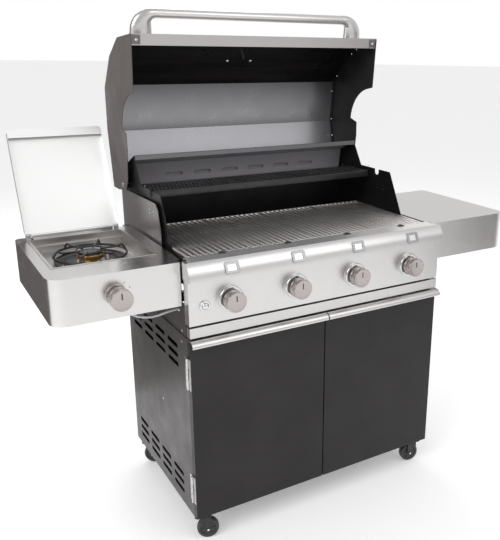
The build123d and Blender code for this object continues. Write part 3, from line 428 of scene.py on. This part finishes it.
# Hood liner painted black above the bend: a painted dark reflection.
steel_mirror = liner_with_painted_reflection("mirror_liner", (0.67, 0.665, 0.70), 0.26, HOOD_BEND_HEIGHT, 0.30)
steel_rail = brushed("rail_steel", (0.92, 0.91, 0.90), 0.42, "x")
rear_steel = brushed("rear_rail_steel", (0.20, 0.195, 0.20), 0.36, "x")
bowl_steel = brushed("bowl_steel", (0.62, 0.60, 0.585), 0.34, "x")
chrome = polished("chrome", (0.72, 0.72, 0.73), 0.08, 0.03)
zinc = zinc_plate("zinc", (0.66, 0.67, 0.69), 0.28)
galvanised = zinc_plate("galvanised", (0.42, 0.43, 0.44), 0.42)
cheek_enamel = enamel("cheek_enamel", (0.085, 0.071, 0.070), 0.36, specular=1.0, coat=0.2)
cabinet_enamel = enamel("cabinet_enamel", (0.040, 0.033, 0.033), 0.36, specular=0.6)
# Painted shade: the cheeks' faces inside the hood, above 0.9 m, are painted near-black.
HOOD_INSIDE_PAINTED_SHADE = (0.4525, 0.9, (0.005, 0.004, 0.0045))
hood_side_enamel = enamel("hood_side_enamel", (0.110, 0.092, 0.089), 0.40, painted_light_zone=HOOD_INSIDE_PAINTED_SHADE)
door_enamel = enamel("door_enamel", (0.013, 0.011, 0.0125), 0.36, dust_amount=0.03, specular=0.32)
strip_enamel = enamel("strip_enamel", (0.008, 0.007, 0.008), 0.3, dust_amount=0.04)
# Painted light: within 0.43 m of the middle and above 1.045 m, the black firebox enamel on the back wall and
# vent hoods is painted light grey.
VENT_WALL_PAINTED_LIGHT = (0.43, 1.045, (0.27, 0.262, 0.28))
tub_enamel = enamel(
    "tub_enamel", (0.005, 0.0045, 0.005), 0.45, dust_amount=0.03, specular=0.2, painted_light_zone=VENT_WALL_PAINTED_LIGHT
)
frame_enamel = enamel("frame_enamel", (0.035, 0.034, 0.034), 0.45)
fixing_black = enamel("fixing_black", (0.016, 0.016, 0.018), 0.3)
grate_steel = seared_steel("grate_steel", (0.84, 0.82, 0.81), 0.36, heat=0.2, darkening=0.10)
grate_edge_steel = seared_steel("grate_edge_steel", (0.86, 0.84, 0.83), 0.42, heat=0.1, darkening=0.08)
burner_steel = seared_steel("burner_steel", (0.40, 0.38, 0.36), 0.42)
brass = seared_steel("brass", (0.72, 0.50, 0.22), 0.30)
black_wire = enamel("black_wire", (0.020, 0.020, 0.022), 0.25, wear=0.6)
black_plastic = moulded("black_plastic", (0.028, 0.028, 0.029), 0.42)
black_rubber = moulded("black_rubber", (0.035, 0.035, 0.036), 0.62)
hose_rubber = moulded("hose_rubber", (0.52, 0.52, 0.53), 0.42)
window_steel = polished("window_steel", (0.40, 0.40, 0.41), 0.24)
window_pane = polished("window_pane", (0.80, 0.81, 0.82), 0.16, 0.02)
dial_glass = glass("dial_glass", (0.9, 0.92, 0.93))
dial_white = moulded("dial_white", (0.80, 0.80, 0.78), 0.5)
dial_red = moulded("dial_red", (0.55, 0.04, 0.03), 0.4)

NODE_FINISH = {
    "base_pan": frame_enamel,
    "side_panel_left": cabinet_enamel,
    "side_panel_right": cabinet_enamel,
    "back_panel": frame_enamel,
    "cabinet_frame": frame_enamel,
    "lower_fascia": steel_trim,
    "door_left": door_enamel,
    "door_right": door_enamel,
    "door_trim_left": steel_trim,
    "door_trim_right": steel_trim,
    "door_hinges": zinc,
    "control_panel": steel_x,
    "burner_window_frames": window_steel,
    "burner_windows": window_pane,
    "knob_bezels": chrome,
    "igniter_button": chrome,
    "gas_manifold": galvanised,
    "burners": burner_steel,
    "emitter_plates": burner_steel,
    "firebox_shell": cheek_enamel,
    "firebox_liner": tub_enamel,
    "front_rail": steel_rail,
    "rail_clips": black_plastic,
    "warming_rack": black_wire,
    "grease_tray": galvanised,
    "hood_skin": steel_lip,
    "hood_liner": steel_mirror,
    "hood_cheeks": hood_side_enamel,
    "hood_handle": steel_cast,
    "thermometer": chrome,
    "shelf_left": shelf_steel_left_painted_light,
    "shelf_right": shelf_steel_right_painted_light,
    "side_bowl": bowl_steel,
    "side_burner": brass,
    "pot_support": black_wire,
    "side_lid": steel_lid,
    "fasteners": zinc,
    "side_knob": steel_knob,
    "side_valve_stem": zinc,
}
for number in range(1, 5):
    NODE_FINISH[f"cooking_grate_{number}"] = grate_steel
    NODE_FINISH[f"knob_{number}"] = steel_knob
    NODE_FINISH[f"valve_stem_{number}"] = zinc
    NODE_FINISH[f"caster_fork_{number}"] = fixing_black
    NODE_FINISH[f"caster_wheel_{number}"] = black_plastic

for node_name, finish_material in NODE_FINISH.items():
    mesh = nodes[node_name].data
    mesh.materials.clear()
    mesh.materials.append(finish_material)


# ---- side burner gas hose ----
HOSE_MM = [
    (-626, 89, 835),
    (-624, 90, 815),
    (-611, 91, 790),
    (-585, 92, 768),
    (-552, 91, 757),
    (-519, 89, 758),
    (-487, 87, 766),
    (-462, 86, 768),
    (-440, 86, 768),
]
HOSE_DIAMETER = 0.007


def add_hose():
    """Rubber hose that sags from the side burner's valve to the hole in the cabinet's side."""
    curve = bpy.data.curves.new("side_hose", "CURVE")
    curve.dimensions = "3D"
    curve.bevel_depth = HOSE_DIAMETER / 2
    curve.bevel_resolution = 6
    curve.resolution_u = 8
    spline = curve.splines.new("NURBS")
    spline.points.add(len(HOSE_MM) - 1)
    for point, place in zip(spline.points, HOSE_MM):
        point.co = (*mm(*place), 1)
    spline.order_u = 3
    spline.use_endpoint_u = True
    hose = bpy.data.objects.new("side_hose", curve)
    bpy.context.scene.collection.objects.link(hose)
    curve.materials.append(hose_rubber)
    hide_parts("side_burner_hose")
    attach(hose, "cart")


add_hose()

# ---- mesh helpers ----
def new_piece(name, bm, material, body, smooth_angle=35):
    """Makes an object from a bmesh, smooth up to smooth_angle, riding on a body."""
    bmesh.ops.remove_doubles(bm, verts=bm.verts, dist=1e-7)
    bmesh.ops.recalc_face_normals(bm, faces=bm.faces)
    mesh = bpy.data.meshes.new(name)
    bm.to_mesh(mesh)
    bm.free()
    mesh.materials.append(material)
    for face in mesh.polygons:
        face.use_smooth = True
    mesh.set_sharp_from_angle(angle=radians(smooth_angle))
    piece = bpy.data.objects.new(name, mesh)
    bpy.context.scene.collection.objects.link(piece)
    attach(piece, body)
    return piece


def add_rings(bm, rings, closed=False):
    """Skins a list of rings, each with the same number of points, with end caps unless closed."""
    loops = [[bm.verts.new(point) for point in ring] for ring in rings]
    pairs = list(zip(loops, loops[1:]))
    if closed:
        pairs.append((loops[-1], loops[0]))
    for first, second in pairs:
        for index in range(len(first)):
            following = (index + 1) % len(first)
            bm.faces.new((first[index], first[following], second[following], second[index]))
    if not closed:
        bm.faces.new(loops[0][::-1])
        bm.faces.new(loops[-1])


def add_turned(bm, profile, place, segments=48, closed=False):
    """Skins a turned shape; profile is (radius, height) in millimetres, place turns local Z to its axis."""
    rings = []
    for radius, height in profile:
        ring = []
        for step in range(segments):
            angle = 2 * pi * step / segments
            local = Vector((radius * cos(angle), radius * sin(angle), height)) / 1000
            ring.append(place @ local)
        rings.append(ring)
    add_rings(bm, rings, closed)


def add_bar(bm, x, y, z, bevel=0.0, place=Matrix.Identity(4), design=True):
    """A box from its (low, high) spans in millimetres, with rounded edges."""
    spans = (x, y, z)
    middle = [(low + high) / 2 for low, high in spans]
    size = [(high - low) / 1000 for low, high in spans]
    centre = mm(*middle) if design else Vector(middle) / 1000
    matrix = place @ Matrix.Translation(centre) @ Matrix.Diagonal((*size, 1))
    made = bmesh.ops.create_cube(bm, size=1.0, matrix=matrix)["verts"]
    if bevel:
        edges = list({edge for vert in made for edge in vert.link_edges})
        bmesh.ops.bevel(
            bm, geom=edges, offset=bevel / 1000, segments=2, profile=0.5, affect="EDGES", clamp_overlap=True
        )


def add_wire(bm, points, radius, sides, closed=False):
    """A round wire along points in the CAD frame; radius is in millimetres."""
    rings = []
    count = len(points)
    side = None
    for index, point in enumerate(points):
        before = points[index - 1] if index or closed else point
        after = points[(index + 1) % count] if index < count - 1 or closed else point
        along = (after - before).normalized()
        if side is None:
            side = along.orthogonal().normalized()
        side = (side - along * side.dot(along)).normalized()
        other = along.cross(side)
        ring = []
        for step in range(sides):
            angle = 2 * pi * step / sides
            ring.append(point + radius / 1000 * (cos(angle) * side + sin(angle) * other))
        rings.append(ring)
    add_rings(bm, rings, closed)


SCREW_PROFILE = ((0.0, 2.1), (1.4, 2.0), (2.6, 1.6), (3.5, 0.8), (3.9, 0.0), (0.0, 0.0))


def facing(point, direction):
    """Turns local Z to direction, at a point."""
    turn = Vector(direction).to_track_quat("Z", "Y").to_matrix().to_4x4()
    return Matrix.Translation(point) @ turn


def add_screw(bm, point, direction, size=1.0, recess=True):
    """Dome-headed screw standing on a face, with a cross recess."""
    place = facing(point, direction) @ Matrix.Scale(size, 4)
    add_turned(bm, SCREW_PROFILE, place, 16)
    if recess:
        for turn in (0, 90):
            cross = place @ Matrix.Rotation(radians(turn), 4, "Z")
            add_bar(bm, (-1.7, 1.7), (-0.3, 0.3), (1.7, 2.16), 0.0, cross, design=False)


# ---- the hood is drawn shut, then turned open about its pivot ----
HOOD_PIVOT_MM = (0, 564, 1056)
HOOD_OPEN = radians(84)
to_pivot = Matrix.Translation(mm(*HOOD_PIVOT_MM))
hood_turn = to_pivot @ Matrix.Rotation(-HOOD_OPEN, 4, "X") @ to_pivot.inverted()
SKIN_MM = ((66, 936), (92, 1074), (160, 1164), (273, 1233), (418, 1221), (604, 1168), (598, 1114))
LINER_MM = ((88, 962), (113, 1068), (176, 1146), (259, 1197), (416, 1198), (582, 1151))
LINER_SCREWS_MM = ((116, 1050), (136, 1080), (233, 1169), (296, 1193), (406, 1184), (470, 1168), (560, 1143))
HANDLE_AXIS_MM = (12.0, 1014.0)
HANDLE_TUBE_HALF = 345.0
HANDLE_SIDES = 40  # corners round the handle's section


def add_handle():
    """Straight tube and two cast feet that widen where they meet the hood's front lip."""
    axis_y, axis_z = HANDLE_AXIS_MM
    slope = (SKIN_MM[1][0] - SKIN_MM[0][0]) / (SKIN_MM[1][1] - SKIN_MM[0][1])
    reach = SKIN_MM[0][0] + slope * (axis_z - SKIN_MM[0][1]) - axis_y
    bm = bmesh.new()
    rings = []
    tucked = HANDLE_TUBE_HALF + 4
    stations = ((-tucked, 14.6), (-HANDLE_TUBE_HALF, 15.1), (HANDLE_TUBE_HALF, 15.1), (tucked, 14.6))
    for x, radius in stations:
        ring = []
        for step in range(HANDLE_SIDES):
            angle = 2 * pi * step / HANDLE_SIDES
            ring.append(hood_turn @ mm(x, axis_y + radius * cos(angle), axis_z + radius * sin(angle)))
        rings.append(ring)
    add_rings(bm, rings)
    bar = new_piece("handle_tube", bm, steel_x, "hood")
    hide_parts("hood_handle")
    outer_radius = 70.0
    inner_radius = 12.0
    foot = (362.0, 430.0)
    half_depth = 15.6
    outer = [(HANDLE_TUBE_HALF, -half_depth)]
    inner = [(HANDLE_TUBE_HALF, half_depth)]
    steps = 12
    for step in range(steps + 1):
        angle = pi / 2 * step / steps
        out, rise = sin(angle), 1 - cos(angle)
        outer.append((foot[1] - outer_radius + outer_radius * out, -half_depth + outer_radius * rise))
        inner.append((foot[0] - inner_radius + inner_radius * out, half_depth + inner_radius * rise))
    outer.append((foot[1] + 1.5, reach + 0.5))
    inner.append((foot[0] - 1.5, reach + 0.5))
    for side, name in ((-1, "left"), (1, "right")):
        bm = bmesh.new()
        rings = []
        for out, into in zip(outer, inner):
            centre = ((out[0] + into[0]) / 2, (out[1] + into[1]) / 2)
            half = ((out[0] - into[0]) / 2, (out[1] - into[1]) / 2)
            ring = []
            for step in range(HANDLE_SIDES):
                angle = 2 * pi * step / HANDLE_SIDES
                across = cos(angle)
                height = 15.8 * sin(angle)
                lip = slope * height * (centre[1] / reach) ** 2
                x = side * (centre[0] + half[0] * across)
                y = axis_y + centre[1] + half[1] * across + lip
                ring.append(hood_turn @ mm(x, y, axis_z + height))
            rings.append(ring)
        add_rings(bm, rings)
        new_piece(f"handle_foot_{name}", bm, steel_cast, "hood")


def add_hood_details():
    """Edge strips of the liner with their screws, corner plates and fixings inside the hood."""
    strips = bmesh.new()
    screws = bmesh.new()
    strip_width = 13.0
    face = 448.2
    for side in (-1, 1):
        inwards = []
        for index, (y, z) in enumerate(LINER_MM):
            before = LINER_MM[max(index - 1, 0)]
            after = LINER_MM[min(index + 1, len(LINER_MM) - 1)]
            run = Vector((after[0] - before[0], after[1] - before[1])).normalized()
            inwards.append((y + strip_width * run[1], z - strip_width * run[0]))
        for index in range(len(LINER_MM) - 1):
            corners = (LINER_MM[index], LINER_MM[index + 1], inwards[index + 1], inwards[index])
            rings = [[hood_turn @ mm(side * x, y, z) for y, z in corners] for x in (face, face + 1.0)]
            add_rings(strips, rings)
        direction = hood_turn.to_3x3() @ Vector((-side, 0, 0))
        for y, z in LINER_SCREWS_MM:
            add_screw(screws, hood_turn @ mm(side * face, y, z), direction, 1.1)
    new_piece("liner_edge_strips", strips, strip_enamel, "hood")
    inwards = Vector((0, 0.778, -0.628))
    for x in (-41.8, 48.9):
        foot = mm(x, 170.9, 1139.6) + 0.0012 * inwards
        add_screw(screws, hood_turn @ foot, hood_turn.to_3x3() @ inwards, 1.5, recess=False)
    new_piece("hood_inner_screws", screws, chrome, "hood")
    plates = bmesh.new()
    pins = bmesh.new()
    for side in (-1, 1):
        add_bar(plates, sorted((side * 424, side * 449)), (69, 97), (933.4, 935.8), 0.5, hood_turn)
        add_screw(pins, hood_turn @ mm(side * 436, 84, 933.4), hood_turn.to_3x3() @ Vector((0, 0, -1)), 1.3)
    new_piece("lip_corner_plates", plates, cheek_enamel, "hood")
    new_piece("lip_corner_screws", pins, zinc, "hood")


def add_thermometer():
    """Dial with ticks, a needle and a glass, in the CAD case on the front facet of the hood."""
    low, high = SKIN_MM[1], SKIN_MM[2]
    middle = ((low[0] + high[0]) / 2, (low[1] + high[1]) / 2)
    outwards = Vector((0, low[1] - high[1], high[0] - low[0])).normalized()
    across = Vector((1, 0, 0))
    upwards = outwards.cross(across)
    turn = Matrix((across, upwards, outwards)).transposed().to_4x4()
    place = hood_turn @ Matrix.Translation(mm(0, *middle)) @ turn
    face = bmesh.new()
    add_turned(face, ((0.0, 9.4), (30.6, 9.4), (30.6, 10.2), (0.0, 10.2)), place, 48)
    new_piece("dial_face", face, dial_white, "hood")
    ticks = bmesh.new()
    for step in range(25):
        turned = place @ Matrix.Rotation(radians(-135 + 270 * step / 24), 4, "Z")
        length = 5.0 if step % 4 == 0 else 2.6
        add_bar(ticks, (-0.35, 0.35), (27.5 - length, 27.5), (10.2, 10.5), 0.0, turned, design=False)
    new_piece("dial_ticks", ticks, black_plastic, "hood")
    needle = bmesh.new()
    turned = place @ Matrix.Rotation(radians(118), 4, "Z")
    add_bar(needle, (-0.6, 0.6), (-6, 22), (11.0, 11.5), 0.2, turned, design=False)
    add_turned(needle, ((0.0, 12.2), (2.4, 12.0), (3.0, 11.4), (3.0, 10.3), (0.0, 10.3)), place, 24)
    new_piece("dial_needle", needle, dial_red, "hood")
    pane = bmesh.new()
    add_turned(pane, ((0.0, 13.2), (18.0, 12.9), (30.4, 12.2), (30.8, 11.4), (0.0, 11.4)), place, 48)
    new_piece("dial_pane", pane, dial_glass, "hood")


# ---- knobs ----
KNOB_PROFILE = (
    (0.0, 0.9), (20.0, 0.9), (25.5, 0.6), (27.6, 0.1), (29.6, 0.0), (30.6, 0.5), (31.0, 1.6),
    (31.0, 16.8), (30.4, 18.6), (28.8, 19.6), (26.0, 20.0), (26.0, 23.4), (27.8, 23.8), (29.0, 24.6),
    (29.5, 26.0), (29.5, 38.2), (28.8, 40.2), (27.0, 41.0), (0.0, 41.0),
)


def add_knob(number, node, body):
    """Turned metal knob with a dished face, a neck and a dark pointer groove."""
    low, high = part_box(node)
    centre = (low + high) / 2
    centre.y = low.y
    place = Matrix.Translation(centre) @ Matrix.Rotation(radians(-90), 4, "X")
    bm = bmesh.new()
    add_turned(bm, KNOB_PROFILE, place, 64)
    piece = new_piece(f"knob_{number}_turned", bm, steel_knob, body, 30)
    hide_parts(node)
    groove = bmesh.new()
    ring = []
    groove_radius = 1.9
    for step in range(24):
        angle = 2 * pi * step / 24
        stretch = 7.5 if sin(angle) > 0 else -7.5
        ring.append((groove_radius * cos(angle), 11.0 + stretch + groove_radius * sin(angle)))
    rings = [[centre + Vector((x / 1000, depth / 1000, z / 1000)) for x, z in ring] for depth in (0.75, 1.2)]
    add_rings(groove, rings)
    new_piece(f"knob_{number}_pointer", groove, black_plastic, body)
    band = bmesh.new()
    add_turned(band, ((25.0, 20.2), (26.6, 20.3), (26.8, 21.7), (26.6, 23.1), (25.0, 23.2)), place, 64)
    new_piece(f"knob_{number}_seal", band, black_rubber, body)


MARK_CIRCLE = 0.040


def add_panel_details():
    """Crown of the igniter button, and small marks round the side knob."""
    low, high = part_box("igniter_button")
    centre = (low + high) / 2
    centre.y = low.y
    place = Matrix.Translation(centre) @ Matrix.Rotation(radians(-90), 4, "X")
    crown = bmesh.new()
    profile = (
        (0.0, -1.6), (3.5, -1.4), (6.5, -0.6), (8.6, 0.6), (9.9, 2.2), (10.3, 4.0), (10.3, 6.0), (0.0, 6.0),
    )
    add_turned(crown, profile, place, 40)
    add_turned(crown, ((0.0, 6.0), (8.4, 6.0), (8.4, 22.5), (0.0, 22.5)), place, 24)
    piece = new_piece("igniter_crown", crown, chrome, "igniter")
    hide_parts("igniter_button")
    marks = bmesh.new()
    low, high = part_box("side_knob")
    hub = (low + high) / 2
    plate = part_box("shelf_left")[0].y
    for angle in (-60, -30, 0, 30, 60):
        x = hub.x + MARK_CIRCLE * sin(radians(angle))
        z = hub.z + MARK_CIRCLE * cos(radians(angle))
        dot = Matrix.Translation((x, plate, z)) @ Matrix.Rotation(radians(90), 4, "X")
        add_turned(marks, ((0.0, 0.35), (1.3, 0.3), (1.6, 0.0), (0.0, 0.0)), dot, 16)
    new_piece("side_knob_marks", marks, black_plastic, "cart")


# ---- cooking grates and warming rack ----
BAR_COUNT = 12
BAR_HALF = 4.7
BAR_ROUND = 3.4  # how far the rounded top of a bar comes down its sides


def bar_section(half, low, high):
    """(across, height) of a bar with a rounded top."""
    shoulder = high - BAR_ROUND
    section = [(-half, low), (half, low), (half, shoulder)]
    for step in range(1, 6):
        angle = pi * step / 6
        section.append((half * cos(angle), shoulder + BAR_ROUND * sin(angle)))
    section.append((-half, shoulder))
    return section


def add_grate(number):
    """Round-topped bars from front to back, welded between two end bars and over two stiffeners."""
    node = f"cooking_grate_{number}"
    low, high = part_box(node)
    bm = bmesh.new()
    inside = (low.x + BAR_HALF / 1000, high.x - BAR_HALF / 1000)
    base, top = low.z * 1000, high.z * 1000
    foot = base + 1.6
    section = bar_section(BAR_HALF, foot, top)
    stations = ((low.y + 0.004, 0.55), (low.y + 0.0065, 1.0), (high.y - 0.0065, 1.0), (high.y - 0.004, 0.55))
    for index in range(BAR_COUNT):
        x = inside[0] + (inside[1] - inside[0]) * index / (BAR_COUNT - 1)
        rings = []
        for y, shrink in stations:
            lowered = [(across, foot + (height - foot) * shrink) for across, height in section]
            rings.append([Vector((x + across / 1000, y, height / 1000)) for across, height in lowered])
        add_rings(bm, rings)
    for share in (0.33, 0.67):
        middle = (low.y + (high.y - low.y) * share) * 1000
        span = (low.x * 1000 + 2, high.x * 1000 - 2)
        add_bar(bm, span, (middle - 5, middle + 5), (base, base + 3), 0.5, design=False)
    piece = new_piece(f"grate_{number}_bars", bm, grate_steel, f"grate_{number}", 50)
    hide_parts(node)
    ends = bmesh.new()
    end = 6.0
    for start in (low.y * 1000, high.y * 1000 - end):
        span = (low.x * 1000, high.x * 1000)
        add_bar(ends, span, (start, start + end), (base, top - 0.9), 0.9, design=False)
    for index in range(BAR_COUNT):
        x = (inside[0] + (inside[1] - inside[0]) * index / (BAR_COUNT - 1)) * 1000
        depth = (high.y * 1000 - 5.6, high.y * 1000 - 0.6)
        add_bar(ends, (x - 3.6, x + 3.6), depth, (top - 2, top), 0.8, design=False)
    new_piece(f"grate_{number}_ends", ends, grate_edge_steel, f"grate_{number}", 50)


def add_rack():
    """Pressed rack: long strips tied by short rounded bars, with a toothed front edge and a folded skirt."""
    low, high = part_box("warming_rack")
    left, right = low.x * 1000, high.x * 1000
    front, back = low.y * 1000, high.y * 1000
    top = high.z * 1000
    bm = bmesh.new()
    rows = 5
    strip = 5.0
    gap = (back - front - strip) / rows
    for row in range(rows + 1):
        start = front + row * gap
        add_bar(bm, (left, right), (start, start + strip), (top - 2.6, top - 0.8), 0.6, design=False)
    pitch = 13.0
    count = int((right - left - 16) / pitch)
    for row in range(rows):
        start = front + row * gap + strip - 1
        for index in range(count):
            x = left + 10 + pitch * (index + (0.5 if row % 2 else 0.0))
            span = (start, start + gap - strip + 2)
            add_bar(bm, (x - 2.6, x + 2.6), span, (top - 3.4, top), 1.5, design=False)
    for index in range(2 * count):
        x = left + 8 + pitch / 2 * index
        add_bar(bm, (x - 1.7, x + 1.7), (front - 0.6, front + 4), (top - 4.5, top + 0.2), 1.1, design=False)
    add_bar(bm, (left, right), (front, front + 1.6), (low.z * 1000, top - 2), 0.5, design=False)
    add_bar(bm, (left, right), (back - 1.6, back), (top - 9, top - 2), 0.5, design=False)
    for x in (left, right - 3):
        add_bar(bm, (x, x + 3), (front, back), (top - 8, top - 0.6), 0.8, design=False)
    piece = new_piece("rack_lattice", bm, black_wire, "warming_rack", 50)
    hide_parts("warming_rack")


# ---- side burner ----
SIDE_BURNER_MM = (-642, 311)
FINGER_MM = (  # (distance from the middle, height) along a finger of the trivet
    (105.8, 905), (103.5, 912), (99, 919), (94.5, 923), (90, 921.5), (84, 918.6), (76, 917.6), (60, 917.4),
    (30, 917.4),
)


def add_side_burner():
    """Brass burner with flame slots, its cap and its spark pin."""
    x, y = SIDE_BURNER_MM
    place = Matrix.Translation(mm(x, y, 0))
    body = bmesh.new()
    profile = (
        (0.0, 857), (17, 857), (21, 860), (22, 872), (22, 884), (26, 889), (36, 894), (39.5, 898), (40, 901),
        (37, 901.4), (0.0, 901.4),
    )
    add_turned(body, profile, place, 64)
    for step in range(36):
        turned = place @ Matrix.Rotation(2 * pi * step / 36, 4, "Z")
        add_bar(body, (35.0, 39.6), (-2.1, 2.1), (901, 905.6), 0.4, turned, design=False)
    add_turned(body, ((0.0, 901.4), (33.5, 901.4), (33.5, 905.6), (0.0, 905.6)), place, 48)
    profile = ((0.0, 905.4), (39.4, 905.4), (40.0, 906.4), (39.6, 908.2), (37.5, 908.6), (0.0, 908.6))
    add_turned(body, profile, place, 64)
    tube = Matrix.Translation(mm(x, 303, 862)) @ Matrix.Rotation(radians(90), 4, "X")
    profile = ((0.0, 0), (11, 0), (11, 120), (12.5, 126), (12.5, 148), (9.5, 149.5), (0.0, 149.5))
    add_turned(body, profile, tube, 32)
    piece = new_piece("side_burner_body", body, brass, "cart")
    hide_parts("side_burner")
    cap = bmesh.new()
    profile = ((0.0, 915.4), (14, 915.2), (27, 914.2), (33.5, 912.4), (36, 910.4), (36, 908.7), (0.0, 908.7))
    add_turned(cap, profile, place, 64)
    new_piece("side_burner_cap", cap, black_wire, "cart")
    spark = bmesh.new()
    spark_place = Matrix.Translation(mm(x + 47, y - 12, 0))
    add_turned(spark, ((0.0, 884), (3.2, 884), (3.2, 900), (2.2, 901), (0.0, 901)), spark_place, 16)
    add_turned(spark, ((0.0, 900), (0.8, 900), (0.8, 907), (0.0, 907.6)), spark_place, 12)
    new_piece("side_burner_spark", spark, dial_white, "cart")


def add_pot_support():
    """Trivet of bent wire (a ring, a small inner ring, six fingers), and the dish and bead under it."""
    x, y = SIDE_BURNER_MM
    centre = mm(x, y, 0)
    bm = bmesh.new()

    def around(radius, height, count):
        """Points of a level circle."""
        points = []
        for step in range(count):
            angle = 2 * pi * step / count
            points.append(centre + Vector((radius * cos(angle), radius * sin(angle), height)) / 1000)
        return points

    add_wire(bm, around(105.8, 905, 72), 3.7, 12, closed=True)
    add_wire(bm, around(47, 917.4, 6), 2.8, 10, closed=True)
    for step in range(6):
        angle = radians(60 * step)
        along = Vector((cos(angle), sin(angle), 0)) / 1000
        points = [centre + radius * along + Vector((0, 0, height / 1000)) for radius, height in FINGER_MM]
        add_wire(bm, points, 3.0, 10)
    piece = new_piece("trivet_wires", bm, black_wire, "pot_support", 60)
    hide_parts("pot_support")
    dish = bmesh.new()
    profile = (
        (40.0, 885.5), (96, 885.5), (101, 887.4), (103.5, 890.0), (104.6, 890.0), (102, 886.4), (98, 885.3),
        (40.0, 885.3),
    )
    add_turned(dish, profile, Matrix.Translation(centre), 64, closed=True)
    new_piece("spill_dish", dish, black_wire, "cart")
    bead = bmesh.new()
    profile = ((124, 885.0), (125.5, 886.8), (128, 887.8), (130.5, 886.8), (132, 885.0))
    add_turned(bead, profile, Matrix.Translation(centre), 64, closed=True)
    new_piece("bowl_bead", bead, bowl_steel, "cart")


# ---- casters ----
def add_wheel(number):
    """Black moulded wheel: rounded tread, dished sides with ribs, bright axle ends."""
    joint = next(j for j in frame["joints"] if j["name"] == f"caster_{number}_roll")
    place = facing(Vector(joint["pos_m"]), joint["axis"])
    bm = bmesh.new()
    profile = (
        (4.2, -13.4), (8.5, -13.4), (9.2, -12.6), (9.6, -9.0), (22.5, -8.6), (24.0, -10.0), (25.0, -11.6),
        (30.0, -12.0), (33.2, -10.6), (34.6, -7.0), (35.0, 0.0), (34.6, 7.0), (33.2, 10.6), (30.0, 12.0),
        (25.0, 11.6), (24.0, 10.0),
        (22.5, 8.6), (9.6, 9.0), (9.2, 12.6), (8.5, 13.4), (4.2, 13.4),
    )
    add_turned(bm, profile, place, 56)
    for step in range(6):
        turned = place @ Matrix.Rotation(2 * pi * step / 6, 4, "Z")
        for side in (-1, 1):
            add_bar(bm, (9, 24), (-1.2, 1.2), sorted((side * 8.4, side * 10.4)), 0.5, turned, design=False)
    piece = new_piece(f"wheel_{number}_moulded", bm, black_plastic, f"wheel_{number}", 40)
    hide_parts(f"caster_wheel_{number}")
    ends = bmesh.new()
    for side in (-1, 1):
        end = place @ Matrix.Rotation(0 if side > 0 else pi, 4, "X")
        add_turned(ends, ((0.0, 22.4), (2.6, 22.0), (3.9, 20.6), (3.9, 17.6), (0.0, 17.6)), end, 20)
    new_piece(f"wheel_{number}_axle_ends", ends, chrome, f"fork_{number}")


# ---- side lid and small hardware on the cart ----
def add_lid_details():
    """Fixed hinge leaf of the side lid, with its screws."""
    low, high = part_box("side_lid")
    pivot = next(j for j in frame["joints"] if j["name"] == "side_lid_hinge")["pos_m"]
    y, z = pivot[1] * 1000, pivot[2] * 1000
    leaf = bmesh.new()
    span = (low.x * 1000 + 22, high.x * 1000 - 22)
    add_bar(leaf, span, (y - 6.2, y - 5.0), (z - 10.9, z + 1.0), 0.3, design=False)
    add_bar(leaf, span, (y - 20, y - 5.0), (z - 10.9, z - 9.7), 0.3, design=False)
    new_piece("lid_hinge_leaf", leaf, steel_x, "cart")
    screws = bmesh.new()
    for share in (0.2, 0.5, 0.8):
        x = low.x + (high.x - low.x) * share
        add_screw(screws, Vector((x, (y - 13) / 1000, (z - 9.7) / 1000)), (0, 0, 1), 0.8)
    new_piece("lid_hinge_screws", screws, zinc, "cart")


OUTER_SCREWS_MM = ((292, 1016), (330, 1016), (292, 1004), (330, 1004))
OUTER_FACE_X = 447  # outer side cover
INNER_SCREW_X = 436.3  # known fault: in or behind the inner wall, 434.5 to 436, where there is one


def add_firebox_details():
    """Steel rail over the back wall, hooded vents and the screws in the inner and outer side walls."""
    rail = bmesh.new()
    outline = (
        (485.0, 1146.0), (483.4, 1146.6), (483.4, 1160.6), (484.6, 1161.8), (488.6, 1161.6), (489.0, 1160.2),
        (485.0, 1160.2),
    )
    add_rings(rail, [[mm(x, y, z) for y, z in outline] for x in (-434, 434)])
    new_piece("rear_rail", rail, rear_steel, "cart")
    vents = bmesh.new()
    for column in range(6):
        middle = 107 * (column - 2.5)
        scoop = (
            (586.5, 1064.0), (588.5, 1063.0), (600.0, 1083.0), (592.0, 1090.0), (589.5, 1088.0),
            (597.0, 1082.0),
        )
        add_rings(vents, [[mm(x, y, z) for y, z in scoop] for x in (middle - 38, middle + 38)])
    new_piece("vent_hoods", vents, tub_enamel, "cart")
    screws = bmesh.new()
    for side in (-1, 1):
        for y, z in (*OUTER_SCREWS_MM, (398, 1040), (486, 1040), (392, 1078)):
            add_screw(screws, mm(side * INNER_SCREW_X, y, z), (-side, 0, 0), 0.62)
        for y, z in OUTER_SCREWS_MM:
            add_screw(screws, mm(side * OUTER_FACE_X, y, z), (side, 0, 0), 0.55)
    new_piece("side_wall_screws", screws, zinc, "cart")


add_handle()
add_hood_details()
add_firebox_details()
add_thermometer()
for number in range(1, 5):
    add_knob(number, f"knob_{number}", f"knob_{number}")
    add_grate(number)
    add_wheel(number)
add_knob(5, "side_knob", "side_knob")
add_panel_details()
add_rack()
add_side_burner()
add_pot_support()
add_lid_details()
